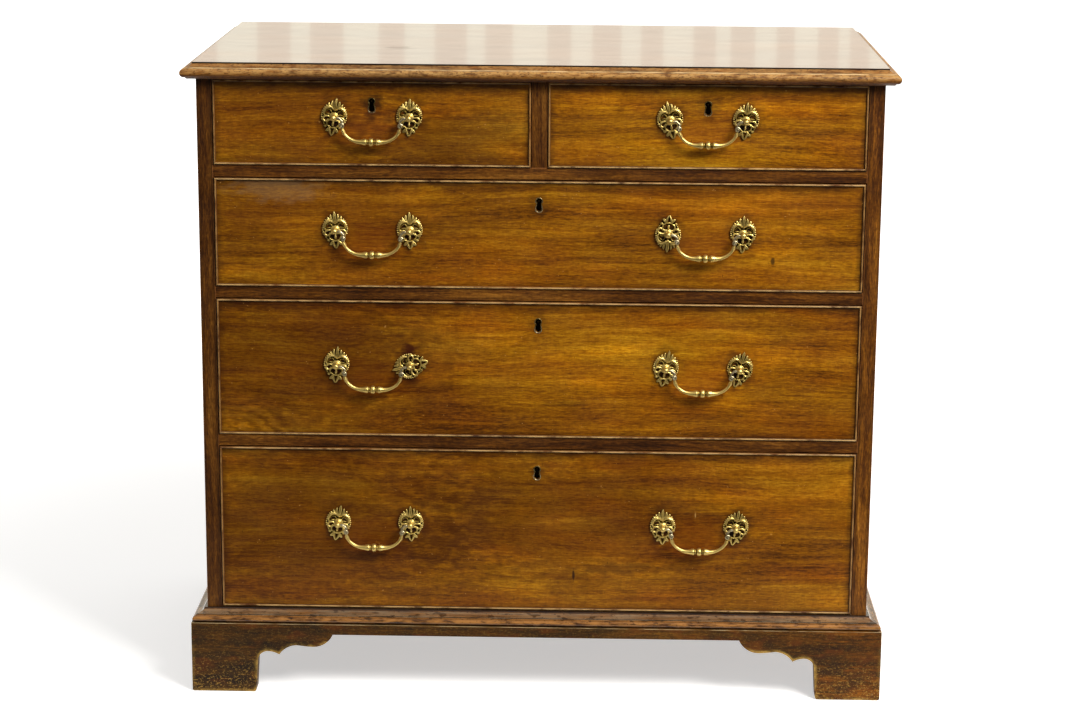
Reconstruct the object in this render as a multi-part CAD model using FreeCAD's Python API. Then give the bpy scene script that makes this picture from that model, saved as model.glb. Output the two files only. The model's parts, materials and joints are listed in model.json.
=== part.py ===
import FreeCAD, Part
import math
import os

# A mahogany chest of two short and three long drawers on bracket feet.
# Millimetres, +Z up, the front faces -Y, +X is to the right of someone facing the front.
# The origin is on the floor, under the middle of the chest's outermost width and depth.

# ---- Driving sizes: case ----
case_width = 927.0             # over the two side panels
case_depth = 496.0             # front plane of the case to the back of the back boards
side_thickness = 21.0
bottom_thickness = 19.0
back_thickness = 12.0
back_rebate = 10.0             # how far the back boards are let into each side panel
back_board_count = 3
rail_thickness = 16.0          # the rails between the drawers
rail_depth = 75.0
rail_tenon = 8.0               # how far a rail's ends are let into the side panels
rail_tenon_setback = 12.0      # the tenons stop short of the front, so the side's edge is unbroken
muntin_width = 21.0            # the upright between the two short drawers
short_opening = 118.0          # heights of the drawer openings, from the top down
second_opening = 152.0
third_opening = 194.0
fourth_opening = 235.0

# ---- Driving sizes: inside the case ----
runner_width = 45.0
centre_runner_width = 75.0
dust_board_thickness = 8.0
dust_board_groove = 5.0
guide_height = 20.0            # the strip that guides the two short drawers between them
stop_length = 24.0             # the stop blocks behind the drawers, front to back
stop_width = 30.0
stop_height = 14.0
stop_gap = 0.3

# ---- Driving sizes: top board and its moulded edge ----
top_thickness = 22.0
top_overhang = 19.0            # past the case at the front and at both sides
quirk_depth = 2.0              # the small upright step at the inner edge of the moulding
ledge_width = 15.0             # from the step out to the nose
ledge_drop = 4.5               # the fall of the shallow hollow outside the step
nose_fillet = 1.0
nose_underside = 2.0           # flat left under the round nose

# ---- Driving sizes: base moulding, base frame and feet ----
moulding_height = 18.0
moulding_projection = 19.0
torus_height = 7.5
torus_fillet = 1.2
cove_top_land = 2.0
cove_top_projection = 4.0
base_projection = 20.5         # base frame and feet, past the case at the front and at both sides
base_frame_height = 15.0
base_frame_width = 60.0
foot_height = 86.0
facing_thickness = 22.0
foot_width = 90.5              # at the floor
foot_flare = 2.5               # how much wider the foot is at its neck
bracket_length = 199.0         # outer corner to the end of the shaped bracket
foot_corner_radius = 4.0
bracket_neck = 40.5            # depths below the base frame of the bracket's turning points
bracket_arch = 25.5
bracket_cusp = 30.3
bracket_crown = 16.2
bracket_dip = 18.4
arch_run = 17.0                # their distances from the inner edge of the foot at the floor
cusp_run = 33.0
crown_run = 58.0
dip_run = 81.0
rear_bracket_thickness = 18.0
rear_bracket_length = 110.0
rear_bracket_toe = 34.0
block_side = 38.0              # the glue block that stands in each foot's corner
block_clearance = 3.0          # above the floor

# ---- Driving sizes: drawers ----
front_thickness = 20.0
bead_width = 3.2               # cock beads round each drawer front
bead_rebate = 8.0              # how deep they are let into the edges
bead_projection = 2.5
side_gap = 1.0                 # running clearances of a drawer in its opening
top_gap = 1.5
front_bottom_gap = 0.6
runner_gap = 0.3
box_side_thickness = 8.0
box_back_thickness = 9.0
box_bottom_thickness = 6.0
box_top_drop = 4.0             # the box sides stop this far below the drawer front's top edge
back_top_drop = 3.0            # the box back stops this far below the sides
bottom_height = 6.0            # underside of the bottom board above the sides' lower edges
side_groove = 4.0
front_groove = 5.0
bottom_shrink_gap = 0.5        # room for the bottom board to swell in the side grooves
lap = 11.0                     # length of the lapped dovetails into the front
pin_narrow = 4.0
pin_wide = 8.0
dovetail_pitch = 58.0          # nearest spacing of the dovetails

# ---- Driving sizes: locks ----
keyhole_drop = 35.0            # middle of the keyhole below the top of the opening
escutcheon_height = 21.4
escutcheon_top_radius = 5.3
escutcheon_bottom_radius = 5.5
escutcheon_waist = 8.0         # width at the narrowest place
escutcheon_wall = 1.4
escutcheon_depth = 4.0
escutcheon_proud = 0.4
lock_width = 64.0
lock_height = 50.0
lock_depth = 11.0
lock_pocket_depth = 6.0        # hollow behind the keyhole
bolt_width = 18.0
bolt_thickness = 4.6
bolt_height = 18.0
bolt_gap = 0.3
bolt_throw = 7.0
mortice_end_gap = 2.0
mortice_side_gap = 1.0
key_pin_radius = 1.3
key_pin_setback = 2.0          # tip of the pin behind the drawer's face

# ---- Driving sizes: handles ----
handle_spacing = 101.6         # between the two posts
handle_pivot_reach = 12.5      # bail axis in front of the drawer's face
post_shank_radius = 3.0
post_hole_gap = 0.1
post_ball_radius = 4.6
rod_flats = 6                  # small brass rods are made with this many long flats
flat_tolerance = 0.001
ball_station_angles = (-50, -20, 25, 60)
nut_side = 13.0
nut_thickness = 4.0
post_end = 2.5                 # threaded end past the nut
rose_half_width = 17.2
rose_half_height = 25.8
rose_thickness = 1.8
rose_boss_radius = 6.8
rose_boss_tip_radius = 4.2
rose_boss_height = 3.2
bail_drop = 32.0
bail_rod_radius = 2.3
bail_arm_inset = 12.0          # the arms hang this far inside the posts
bail_elbow_radius = 4.0
bail_corner_radius = 20.8
bail_ring_radius = 5.2
bail_ring_width = 3.0
ring_bevel = 0.2
bail_neck_radius = 2.4
bail_swell_radius = 4.0
bail_swell_centre = 9.0        # from the middle of the bail
bail_curl_radius = 3.3
bail_curl_rise = 1.6           # above the top of the round corner
bail_pin_radius = 1.6
bail_pin_gap = 0.05            # radial running fit in the post's cross hole
bail_pin_past_centre = 3.2
bail_pin_end_gap = 0.3
bail_shoulder_gap = 0.5

# How each rose has turned on its post, in degrees clockwise as seen from the front.
short_left_turns = ((9.0, 2.0),)
short_right_turns = ((-11.0, 5.0),)
second_turns = ((-3.0, -1.5), (183.0, 2.0))
third_turns = ((4.5, -105.0), (11.5, 14.0))
fourth_turns = ((9.5, -2.0), (0.0, 9.5))

# Post height above the middle of each opening.
short_handle_rise = 8.0
second_handle_rise = 4.0
third_handle_rise = 4.0
fourth_handle_rise = 7.0

# ---- Places worked out from the sizes ----
overall_depth = case_depth + base_projection
front_y = base_projection - overall_depth / 2      # front plane of the case and the drawers
back_y = front_y + case_depth
inner_back_y = back_y - back_thickness
half_width = case_width / 2
inner_half = half_width - side_thickness
base_half = half_width + base_projection
base_front_y = front_y - base_projection
case_base_z = foot_height + base_frame_height
fourth_z = case_base_z + bottom_thickness
third_z = fourth_z + fourth_opening + rail_thickness
second_z = third_z + third_opening + rail_thickness
short_z = second_z + second_opening + rail_thickness
top_z = short_z + short_opening
handle_offset = (inner_half + muntin_width / 2) / 2  # handles line up with the short drawers' middles
rail_levels = (third_z, second_z, short_z)           # tops of the three rails


def point(x, y, z):
    return FreeCAD.Vector(x, y, z)


def box(x_low, x_high, y_low, y_high, z_low, z_high):
    corner = point(x_low, y_low, z_low)
    return Part.makeBox(x_high - x_low, y_high - y_low, z_high - z_low, corner)


def outline_face(start, steps, place):
    """A flat face; a step is (end,) for a straight edge or (middle, end) for an arc."""
    edges = []
    here = start
    for step in steps:
        ends = [place(*p) for p in (here,) + tuple(step)]
        if len(step) == 1:
            edges.append(Part.LineSegment(*ends).toShape())
        else:
            edges.append(Part.Arc(*ends).toShape())
        here = step[-1]
    return Part.Face(Part.Wire(edges))


def polygon_face(points, place):
    steps = [(p,) for p in points[1:]] + [(points[0],)]
    return outline_face(points[0], steps, place)


def plan_prism(points, z_low, z_high):
    """A prism that stands on a plan outline of (x, y) points."""
    face = polygon_face(points, lambda x, y: point(x, y, z_low))
    return face.extrude(point(0, 0, z_high - z_low))


def elevation_prism(face_steps, y_low, y_high):
    """A prism from a front elevation in (x, z), running front to back."""
    start, steps = face_steps
    face = outline_face(start, steps, lambda x, z: point(x, y_low, z))
    return face.extrude(point(0, y_high - y_low, 0))


def mirrored(shape):
    return shape.mirror(point(0, 0, 0), point(1, 0, 0))


def group(solids):
    return Part.makeCompound(solids)


def save(node, shape):
    shape.exportStep("parts/" + node + ".step")


# ---------------------------------------------------------------- top board
def top_edge_steps(nose, inner):
    """The moulded edge in (outward distance, height) from its upper inner corner round to the underside."""
    top = top_z + top_thickness
    step_at = nose - ledge_width
    step_foot = top - quirk_depth
    nose_top = step_foot - ledge_drop - nose_fillet
    nose_bottom = top_z + nose_underside
    nose_radius = (nose_top - nose_bottom) / 2
    nose_start = nose - nose_radius
    hollow = ((step_at + nose_start) / 2, step_foot - ledge_drop * 0.7)
    steps = [
        ((step_at, top),),
        ((step_at, step_foot),),
        (hollow, (nose_start, step_foot - ledge_drop)),
        ((nose_start, nose_top),),
        ((nose, nose_top - nose_radius), (nose_start, nose_bottom)),
        ((nose_start - nose_underside, top_z),),
        ((inner, top_z),),
        ((inner, top),),
    ]
    return (inner, top), steps


def make_top_board():
    """The front edge and both ends carry one moulding, mitred where the two runs cross."""
    nose = half_width + top_overhang
    start, steps = top_edge_steps(nose, 0)
    end_half = outline_face(start, steps, lambda u, z: point(u, front_y - top_overhang, z))
    along_y = end_half.extrude(point(0, case_depth + top_overhang, 0))
    ends = along_y.fuse(mirrored(along_y)).removeSplitter()
    start, steps = top_edge_steps(top_overhang - front_y, -back_y)
    front_run = outline_face(start, steps, lambda u, z: point(-nose, -u, z))
    along_x = front_run.extrude(point(2 * nose, 0, 0))
    board = ends.common(along_x)
    for x in (-handle_offset, handle_offset):
        board = board.cut(bolt_mortice(x, top_z))
    return board


# ---------------------------------------------------------------- case
def bolt_mortice(x, z):
    """The pocket that a lock's bolt rises into, in the underside at height z."""
    bolt_front, bolt_back = bolt_range_y()
    half = bolt_width / 2 + mortice_side_gap
    depth = bolt_throw - top_gap + mortice_end_gap
    return box(x - half, x + half, bolt_front - mortice_side_gap, bolt_back + mortice_side_gap, z, z + depth)


def bolt_range_y():
    middle = front_y + front_thickness - lock_depth / 2
    return middle - bolt_thickness / 2, middle + bolt_thickness / 2


def make_side():
    """The left side panel, with stopped housings for the rails and a rebate for the back."""
    side = box(-half_width, -inner_half, front_y, back_y, case_base_z, top_z)
    for z in rail_levels:
        side = side.cut(rail_tenon_box(-inner_half - rail_tenon, -inner_half, z))
    rebate = box(-inner_half - back_rebate, -inner_half, inner_back_y, back_y, case_base_z, top_z)
    return side.cut(rebate)


def rail_tenon_box(x_low, x_high, z):
    y_low = front_y + rail_tenon_setback
    return box(x_low, x_high, y_low, front_y + rail_depth, z - rail_thickness, z)


def groove_heights(z):
    """Lower and upper face of a dust board in a rail or runner whose top is at z."""
    low = z - (rail_thickness + dust_board_thickness) / 2
    return low, low + dust_board_thickness


def make_rail(z):
    """One rail, with stub tenons into the sides and a mortice below for the lock of the drawer under it."""
    rail = box(-inner_half, inner_half, front_y, front_y + rail_depth, z - rail_thickness, z)
    rail = rail.fuse(rail_tenon_box(-inner_half - rail_tenon, -inner_half, z))
    rail = rail.fuse(rail_tenon_box(inner_half, inner_half + rail_tenon, z)).removeSplitter()
    return rail.cut([bolt_mortice(0, z - rail_thickness)] + dust_boards_at(z))


def make_rails():
    return group([make_rail(z) for z in rail_levels])


def make_muntin():
    half = muntin_width / 2
    return box(-half, half, front_y, front_y + rail_depth, short_z, top_z)


def runner_boxes(z):
    """Plan ranges in x of the runners at one level."""
    ranges = [(-inner_half, -inner_half + runner_width), (inner_half - runner_width, inner_half)]
    if z == short_z:
        ranges.insert(1, (-centre_runner_width / 2, centre_runner_width / 2))
    return ranges


def dust_boards_at(z):
    low, high = groove_heights(z)
    boards = []
    ranges = runner_boxes(z)
    for left, right in zip(ranges, ranges[1:]):
        x_low = left[1] - dust_board_groove
        x_high = right[0] + dust_board_groove
        y_low = front_y + rail_depth - dust_board_groove
        boards.append(box(x_low, x_high, y_low, inner_back_y, low, high))
    return boards


def make_runners():
    """Runners behind each rail, grooved for the dust boards, and the guide between the short drawers."""
    runners = []
    for z in rail_levels:
        for x_low, x_high in runner_boxes(z):
            runner = box(x_low, x_high, front_y + rail_depth, inner_back_y, z - rail_thickness, z)
            runners.append(runner.cut(dust_boards_at(z)))
    half = muntin_width / 2
    guide = box(-half, half, front_y + rail_depth, inner_back_y, short_z, short_z + guide_height)
    return group(runners + [guide])


def make_dust_boards():
    boards = []
    for z in rail_levels:
        boards += dust_boards_at(z)
    return group(boards)


def make_back_boards():
    """Horizontal boards nailed into the rebates of the sides."""
    height = (top_z - case_base_z) / back_board_count
    half = inner_half + back_rebate
    boards = []
    for i in range(back_board_count):
        z = case_base_z + i * height
        boards.append(box(-half, half, inner_back_y, back_y, z, z + height))
    return group(boards)


def make_bottom():
    return box(-inner_half, inner_half, front_y, inner_back_y, case_base_z, case_base_z + bottom_thickness)


def make_stops():
    """Blocks behind the drawers that bring their faces flush with the case."""
    y_high = inner_back_y
    y_low = y_high - stop_length + stop_gap
    inner_edge = muntin_width / 2 + side_gap
    outer_edge = inner_half - side_gap
    stops = []
    for z in (fourth_z, third_z, second_z, short_z):
        places = [outer_edge - stop_width]
        if z == short_z:
            places.append(inner_edge)
        for x in places:
            stop = box(x, x + stop_width, y_low, y_high, z, z + stop_height)
            stops += [stop, mirrored(stop)]
    return group(stops)


# ---------------------------------------------------------------- base
def base_moulding_face(place):
    """Torus below, fillet and hollow above, in (outward distance, height above its underside)."""
    radius = torus_height / 2
    centre = moulding_projection - radius
    hollow_foot = centre - torus_fillet
    hollow_top = moulding_height - cove_top_land
    hollow_low = torus_height + torus_fillet
    run = hollow_foot - cove_top_projection
    rise = hollow_top - hollow_low
    steps = [
        ((centre, 0),),
        ((moulding_projection, radius), (centre, torus_height)),
        ((centre, hollow_low),),
        ((hollow_foot, hollow_low),),
        ((cove_top_projection + run * 0.4, hollow_low + rise * 0.3), (cove_top_projection, hollow_top)),
        ((cove_top_projection, moulding_height),),
        ((0, moulding_height),),
        ((0, 0),),
    ]
    return outline_face((0, 0), steps, place)


def front_band(projection, width, z_low, z_high):
    """Plan wedge of a front member, mitred at both corners."""
    outer = half_width + projection
    y = front_y - projection
    inner = outer - width
    return plan_prism([(-outer, y), (outer, y), (inner, y + width), (-inner, y + width)], z_low, z_high)


def side_band(projection, width, z_low, z_high, y_high=back_y):
    """Plan wedge of the left member, mitred at the front corner and square at the back."""
    outer = half_width + projection
    y = front_y - projection
    inner = outer - width
    return plan_prism([(-outer, y), (-inner, y + width), (-inner, y_high), (-outer, y_high)], z_low, z_high)


def make_front_moulding():
    outer = half_width + moulding_projection
    face = base_moulding_face(lambda d, h: point(-outer, front_y - d, case_base_z + h))
    run = face.extrude(point(2 * outer, 0, 0))
    wedge = front_band(moulding_projection, moulding_projection, case_base_z, case_base_z + moulding_height)
    return run.common(wedge)


def make_side_mouldings():
    start = front_y - moulding_projection
    face = base_moulding_face(lambda d, h: point(-half_width - d, start, case_base_z + h))
    run = face.extrude(point(0, back_y - start, 0))
    wedge = side_band(moulding_projection, moulding_projection, case_base_z, case_base_z + moulding_height)
    left = run.common(wedge)
    return group([left, mirrored(left)])


def make_base_frame():
    """A flat frame under the case: mitred at the front, butted at the back."""
    width = base_frame_width
    front = front_band(base_projection, width, foot_height, case_base_z)
    left = side_band(base_projection, width, foot_height, case_base_z)
    rear_half = base_half - width
    rear = box(-rear_half, rear_half, back_y - width, back_y, foot_height, case_base_z)
    return group([front, left, mirrored(left), rear])


def part_way(start, finish, along, up):
    """A point between start and finish, by its shares of the way across and of the way up."""
    return start[0] + (finish[0] - start[0]) * along, start[1] + (finish[1] - start[1]) * up


def bracket_outline():
    """The shaped bracket in (distance from the outer corner, height)."""
    r = foot_corner_radius
    corner = r * (1 - math.sqrt(0.5))
    toe = foot_width
    neck = (toe + foot_flare, foot_height - bracket_neck)
    arch = (toe + arch_run, foot_height - bracket_arch)
    cusp = (toe + cusp_run, foot_height - bracket_cusp)
    crown = (toe + crown_run, foot_height - bracket_crown)
    dip = (toe + dip_run, foot_height - bracket_dip)
    end = (bracket_length, foot_height)
    steps = [
        ((toe - r, 0),),
        ((toe - corner, corner), (toe, r)),
        (neck,),
        (part_way(neck, arch, 0.31, 0.73), arch),
        (part_way(arch, cusp, 0.56, 0.33), cusp),
        (part_way(cusp, crown, 0.38, 0.67), crown),
        (part_way(crown, dip, 0.57, 0.73), dip),
        (part_way(dip, end, 0.65, 0.33), end),
        ((0, foot_height),),
        ((0, r),),
        ((corner, corner), (r, 0)),
    ]
    return (r, 0), steps


def make_front_foot():
    """Left front foot: two shaped facings mitred at the corner and a glue block behind them."""
    t = facing_thickness
    start, steps = bracket_outline()
    front = outline_face(start, steps, lambda u, z: point(-base_half + u, base_front_y, z))
    front = front.extrude(point(0, t, 0))
    side = outline_face(start, steps, lambda u, z: point(-base_half, base_front_y + u, z))
    side = side.extrude(point(t, 0, 0))
    front = front.common(front_band(base_projection, t, 0, foot_height))
    side = side.common(side_band(base_projection, t, 0, foot_height))
    x = -base_half + t
    y = base_front_y + t
    block = box(x, x + block_side, y, y + block_side, block_clearance, foot_height)
    return group([front, side, block])


def make_rear_foot():
    """Left rear foot: a shaped side facing, a plain bracket across the back and a glue block."""
    t = facing_thickness
    start, steps = bracket_outline()
    side = outline_face(start, steps, lambda u, z: point(-base_half, back_y - u, z))
    side = side.extrude(point(t, 0, 0))
    x = -base_half + t
    toe = x + rear_bracket_toe
    end = x + rear_bracket_length
    shoulder = foot_height * 0.75
    curve = (toe + (end - toe) * 0.2, shoulder * 0.72)
    steps = [((toe, 0),), (curve, (end, shoulder)), ((end, foot_height),), ((x, foot_height),), ((x, 0),)]
    rear = elevation_prism(((x, 0), steps), back_y - rear_bracket_thickness, back_y)
    y = back_y - rear_bracket_thickness
    block = box(x, x + block_side, y - block_side, y, block_clearance, foot_height)
    return group([side, rear, block])


# ---------------------------------------------------------------- locks
def arc_points(centre, radius, start, end, count):
    """Evenly spaced points of an arc in (u, v), angles in degrees from +u."""
    points = []
    for i in range(count + 1):
        angle = math.radians(start + (end - start) * i / count)
        points.append((centre[0] + radius * math.cos(angle), centre[1] + radius * math.sin(angle)))
    return points


def keyhole_face(x, y, z, shrink):
    """Round head, narrow waist and flared round foot; shrink is taken off all round."""
    top_radius = escutcheon_top_radius - shrink
    bottom_radius = escutcheon_bottom_radius - shrink
    waist = escutcheon_waist / 2 - shrink
    top_centre = escutcheon_height / 2 - escutcheon_top_radius
    bottom_centre = escutcheon_bottom_radius - escutcheon_height / 2
    head = arc_points((0, top_centre), top_radius, -45, 225, 6)
    waist_z = head[0][1] + waist - head[0][0]
    foot = arc_points((0, bottom_centre), bottom_radius, 180, 360, 4)
    corners = head + [(-waist, waist_z)] + foot + [(waist, waist_z)]
    return polygon_face(corners, lambda u, v: point(x + u, y, z + v))


def keyhole_prism(x, z, shrink, y_low, y_high):
    return keyhole_face(x, y_low, z, shrink).extrude(point(0, y_high - y_low, 0))


def make_escutcheon(x, z):
    """The thin brass lining let into the edge of the keyhole."""
    y_low = front_y - escutcheon_proud
    y_high = front_y + escutcheon_depth
    outer = keyhole_prism(x, z, 0, y_low, y_high)
    return outer.cut(keyhole_prism(x, z, escutcheon_wall, y_low, y_high))


def lock_box(x, z_top):
    half = lock_width / 2
    y_high = front_y + front_thickness
    return box(x - half, x + half, y_high - lock_depth, y_high, z_top - lock_height, z_top)


def make_lock(x, z_top, z_key):
    """The lock case, its bolt channel, the hollow behind the keyhole and the pin for a pipe key."""
    case = lock_box(x, z_top)
    bolt_front, bolt_back = bolt_range_y()
    half = bolt_width / 2 + bolt_gap
    z_low = z_top - bolt_height - bolt_gap
    case = case.cut(box(x - half, x + half, bolt_front - bolt_gap, bolt_back + bolt_gap, z_low, z_top))
    lock_front = front_y + front_thickness - lock_depth
    pocket_back = lock_front + lock_pocket_depth
    half = escutcheon_bottom_radius - escutcheon_wall
    rise = escutcheon_height / 2 - escutcheon_wall
    case = case.cut(box(x - half, x + half, lock_front, pocket_back, z_key - rise, z_key + rise))
    pin_z = z_key + escutcheon_height / 2 - escutcheon_top_radius
    tip = front_y + key_pin_setback
    pin = front_to_back_rod(x, pin_z, [(tip, key_pin_radius), (pocket_back, key_pin_radius)])
    return case.fuse(pin)


def make_bolt(x, z_top):
    bolt_front, bolt_back = bolt_range_y()
    half = bolt_width / 2
    return box(x - half, x + half, bolt_front, bolt_back, z_top - bolt_height, z_top)


# ---------------------------------------------------------------- handles
def flats_ring(centre, along, across, radius):
    """Corners of a regular outline round centre, square to along, with its corners at radius."""
    other = along.cross(across)
    corners = []
    for i in range(rod_flats):
        angle = 2 * math.pi * (i + 0.5) / rod_flats
        corners.append(centre + across * (radius * math.cos(angle)) + other * (radius * math.sin(angle)))
    return corners


def patch(corners):
    """One flat face through four corners, or two triangles where they don't lie in one plane."""
    a, b, c, d = corners
    normal = (b - a).cross(c - a).normalize()
    if abs(normal.dot(d - a)) < flat_tolerance:
        return [Part.Face(Part.makePolygon([a, b, c, d, a]))]
    return [Part.Face(Part.makePolygon([a, b, c, a])), Part.Face(Part.makePolygon([a, c, d, a]))]


def skinned_rod(rings):
    """A solid through a row of rings with the same number of corners."""
    faces = [Part.Face(Part.makePolygon(ring + ring[:1])) for ring in (rings[0], rings[-1])]
    for ring, following in zip(rings, rings[1:]):
        for i in range(len(ring)):
            j = (i + 1) % len(ring)
            faces += patch([ring[i], ring[j], following[j], following[i]])
    solid = Part.Solid(Part.Shell(faces))
    if solid.Volume < 0:
        solid.reverse()
    return solid


def round_flats_radius(radius):
    """Corner radius of a flat-sided hole that a rod of this radius can turn in."""
    return radius / math.cos(math.pi / rod_flats)


def front_to_back_rod(x, z, stations):
    """A flat-sided rod along Y; each station is (y, radius)."""
    return skinned_rod([flats_ring(point(x, y, z), point(0, 1, 0), point(1, 0, 0), radius)
                        for y, radius in stations])


def shank_hole(x, z, y_low, y_high):
    radius = round_flats_radius(post_shank_radius + post_hole_gap)
    return front_to_back_rod(x, z, [(y_low, radius), (y_high, radius)])


def rose_right_steps():
    """Right half of a rose from the crest to the tip, in shares of its half width and half height."""
    return [
        ((0.37, 0.93),),
        ((0.43, 0.78),),
        ((0.70, 0.74),),
        ((0.73, 0.57),),
        ((1.00, 0.29),),
        ((0.98, -0.10),),
        ((0.55, -0.65),),
        ((0.50, -0.81),),
        ((0.27, -0.74),),
        ((0, -1),),
    ]


def mirrored_steps(start, steps):
    """The same run of edges, mirrored left to right and walked backwards."""
    ends = [start] + [step[-1] for step in steps]
    result = []
    for step, previous in zip(reversed(steps), reversed(ends[:-1])):
        middle = tuple((-u, v) for u, v in step[:-1])
        result.append(middle + ((-previous[0], previous[1]),))
    return result


def make_rose(x, z, turn):
    """A cast brass plate with a leaf crest, pierced, and a raised boss round the post."""
    y = front_y - rose_thickness

    def place(u, v):
        return point(x + u * rose_half_width, y, z + v * rose_half_height)

    crest = (0.16, 0.84)
    right = rose_right_steps()
    steps = right + mirrored_steps(crest, right) + [((0, 1),), (crest,)]
    through = point(0, rose_thickness, 0)
    plate = outline_face(crest, steps, place).extrude(through)
    eye = [(0.27, 0.17), (0.47, 0.30), (0.65, 0.20), (0.48, 0.13)]
    mouth = [(0.08, -0.33), (0.49, -0.34), (0.30, -0.48), (0.08, -0.51)]
    for hole_points in (eye, mouth):
        hole = polygon_face(hole_points, place).extrude(through)
        plate = plate.cut([hole, hole.mirror(point(x, y, z), point(1, 0, 0))])
    leaf_hole = polygon_face([(-0.14, -0.61), (0.14, -0.61), (0, -0.82)], place)
    boss = front_to_back_rod(x, z, [(y, rose_boss_radius), (y - rose_boss_height, rose_boss_tip_radius)])
    rose = plate.cut(leaf_hole.extrude(through)).fuse(boss)
    rose = rose.cut(shank_hole(x, z, y - rose_boss_height, front_y))
    rose.rotate(point(x, y, z), point(0, 1, 0), turn)
    return rose


def make_post(x, z, inward):
    """A ball-headed bolt through the drawer front, and its square nut inside."""
    pivot_y = front_y - handle_pivot_reach
    inside = front_y + front_thickness
    shank_end = inside + nut_thickness + post_end
    stations = [(shank_end, post_shank_radius)]
    for degrees in ball_station_angles:
        angle = math.radians(degrees)
        stations.append((pivot_y - post_ball_radius * math.sin(angle), post_ball_radius * math.cos(angle)))
    stations[1] = (stations[1][0], post_shank_radius)
    post = front_to_back_rod(x, z, stations)
    radius = round_flats_radius(bail_pin_radius + bail_pin_gap)
    rings = [flats_ring(point(x + inward * u, pivot_y, z), point(1, 0, 0), point(0, 1, 0), radius)
             for u in (-bail_pin_past_centre - bail_pin_end_gap, post_ball_radius)]
    post = post.cut(skinned_rod(rings))
    half = nut_side / 2
    nut = box(x - half, x + half, inside, inside + nut_thickness, z - half, z + half)
    nut = nut.cut(shank_hole(x, z, inside, inside + nut_thickness))
    return [post, nut]


def bail_half_stations():
    """Right half of the bail as (distance from its middle, drop, heading in degrees, radius)."""
    arm_x = handle_spacing / 2 - bail_arm_inset
    corner_x = arm_x - bail_corner_radius
    half_ring = bail_ring_width / 2
    shoulder = handle_spacing / 2 - post_ball_radius - bail_shoulder_gap
    pin_tip = handle_spacing / 2 + bail_pin_past_centre
    stations = [
        (half_ring, bail_drop, 0, bail_ring_radius),
        (half_ring + ring_bevel, bail_drop, 0, bail_neck_radius),
        (bail_swell_centre, bail_drop, 0, bail_swell_radius),
        (corner_x, bail_drop, 0, bail_rod_radius),
    ]
    for heading in (35, 65, 90):
        angle = math.radians(heading)
        along = corner_x + bail_corner_radius * math.sin(angle)
        drop = bail_drop - bail_corner_radius * (1 - math.cos(angle))
        stations.append((along, drop, heading, bail_rod_radius))
    curl_drop = bail_drop - bail_corner_radius - bail_curl_rise
    stations.append((arm_x, curl_drop, 90, bail_curl_radius))
    stations += [
        (arm_x, bail_elbow_radius, 90, bail_rod_radius),
        (arm_x + bail_elbow_radius, 0, 0, bail_rod_radius),
        (shoulder, 0, 0, bail_rod_radius),
        (shoulder, 0, 0, bail_pin_radius),
        (pin_tip, 0, 0, bail_pin_radius),
    ]
    return stations


def make_bail(x, z):
    """A swan-neck bail: turned grip, round corners, a curl on each arm and a pin into each post."""
    y = front_y - handle_pivot_reach
    across = point(0, 1, 0)
    half = bail_half_stations()
    *rod, shoulder, pin_start, pin_tip = half
    rings = []
    for mirror, stations in ((-1, reversed(rod + [shoulder])), (1, rod + [shoulder])):
        for along, drop, heading, radius in stations:
            angle = math.radians(heading)
            direction = point(math.cos(angle), 0, mirror * math.sin(angle))
            rings.append(flats_ring(point(x + mirror * along, y, z - drop), direction, across, radius))
    bail = skinned_rod(rings)
    for mirror in (-1, 1):
        ends = [flats_ring(point(x + mirror * along, y, z), point(1, 0, 0), across, radius)
                for along, _, _, radius in (pin_start, pin_tip)]
        bail = bail.fuse(skinned_rod(ends))
    return bail


# ---------------------------------------------------------------- drawers
class Drawer:
    """The places in one drawer, worked out from its opening."""

    def __init__(self, name, x_low, x_high, z_low, height, handle_rise, turns):
        self.name = name
        self.left = x_low + side_gap
        self.right = x_high - side_gap
        self.centre = (x_low + x_high) / 2
        self.low = z_low + front_bottom_gap
        self.top = z_low + height - top_gap
        self.key_z = z_low + height - keyhole_drop
        self.side_low = z_low + runner_gap
        self.side_top = self.top - box_top_drop
        self.bottom_z = self.side_low + bottom_height
        self.bottom_top = self.bottom_z + box_bottom_thickness
        self.inner_face = front_y + front_thickness
        self.end_y = inner_back_y - stop_length
        self.post_z = z_low + height / 2 + handle_rise
        self.turns = turns
        if len(turns) == 1:
            self.handles = [self.centre]
        else:
            self.handles = [-handle_offset, handle_offset]

    def posts(self):
        for handle_x, handle_turns in zip(self.handles, self.turns):
            yield handle_x - handle_spacing / 2, handle_turns[0], 1
            yield handle_x + handle_spacing / 2, handle_turns[1], -1


def dovetail(x_low, x_high, y_wide, y_narrow, z, half_wide, half_narrow):
    """One dovetail key, tapering in height from y_wide to y_narrow."""
    corners = [(y_wide, z - half_wide), (y_wide, z + half_wide),
               (y_narrow, z + half_narrow), (y_narrow, z - half_narrow)]
    face = polygon_face(corners, lambda y, v: point(x_low, y, v))
    return face.extrude(point(x_high - x_low, 0, 0))


def spaced(low, high):
    """Centres and pitch of the dovetails along one corner."""
    count = max(2, round((high - low) / dovetail_pitch))
    pitch = (high - low) / count
    return [low + (i + 0.5) * pitch for i in range(count)], pitch


def front_tails(drawer, x_low, x_high):
    centres, pitch = spaced(drawer.side_low, drawer.side_top)
    tails = []
    for z in centres:
        tails.append(dovetail(x_low, x_high, drawer.inner_face - lap, drawer.inner_face, z,
                              (pitch - pin_narrow) / 2, (pitch - pin_wide) / 2))
    return tails


def back_pins(drawer, x_low, x_high):
    centres, _ = spaced(drawer.bottom_top, drawer.side_top - back_top_drop)
    pins = []
    for z in centres:
        pins.append(dovetail(x_low, x_high, drawer.end_y - box_back_thickness, drawer.end_y, z,
                             pin_wide / 2, pin_narrow / 2))
    return pins


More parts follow.
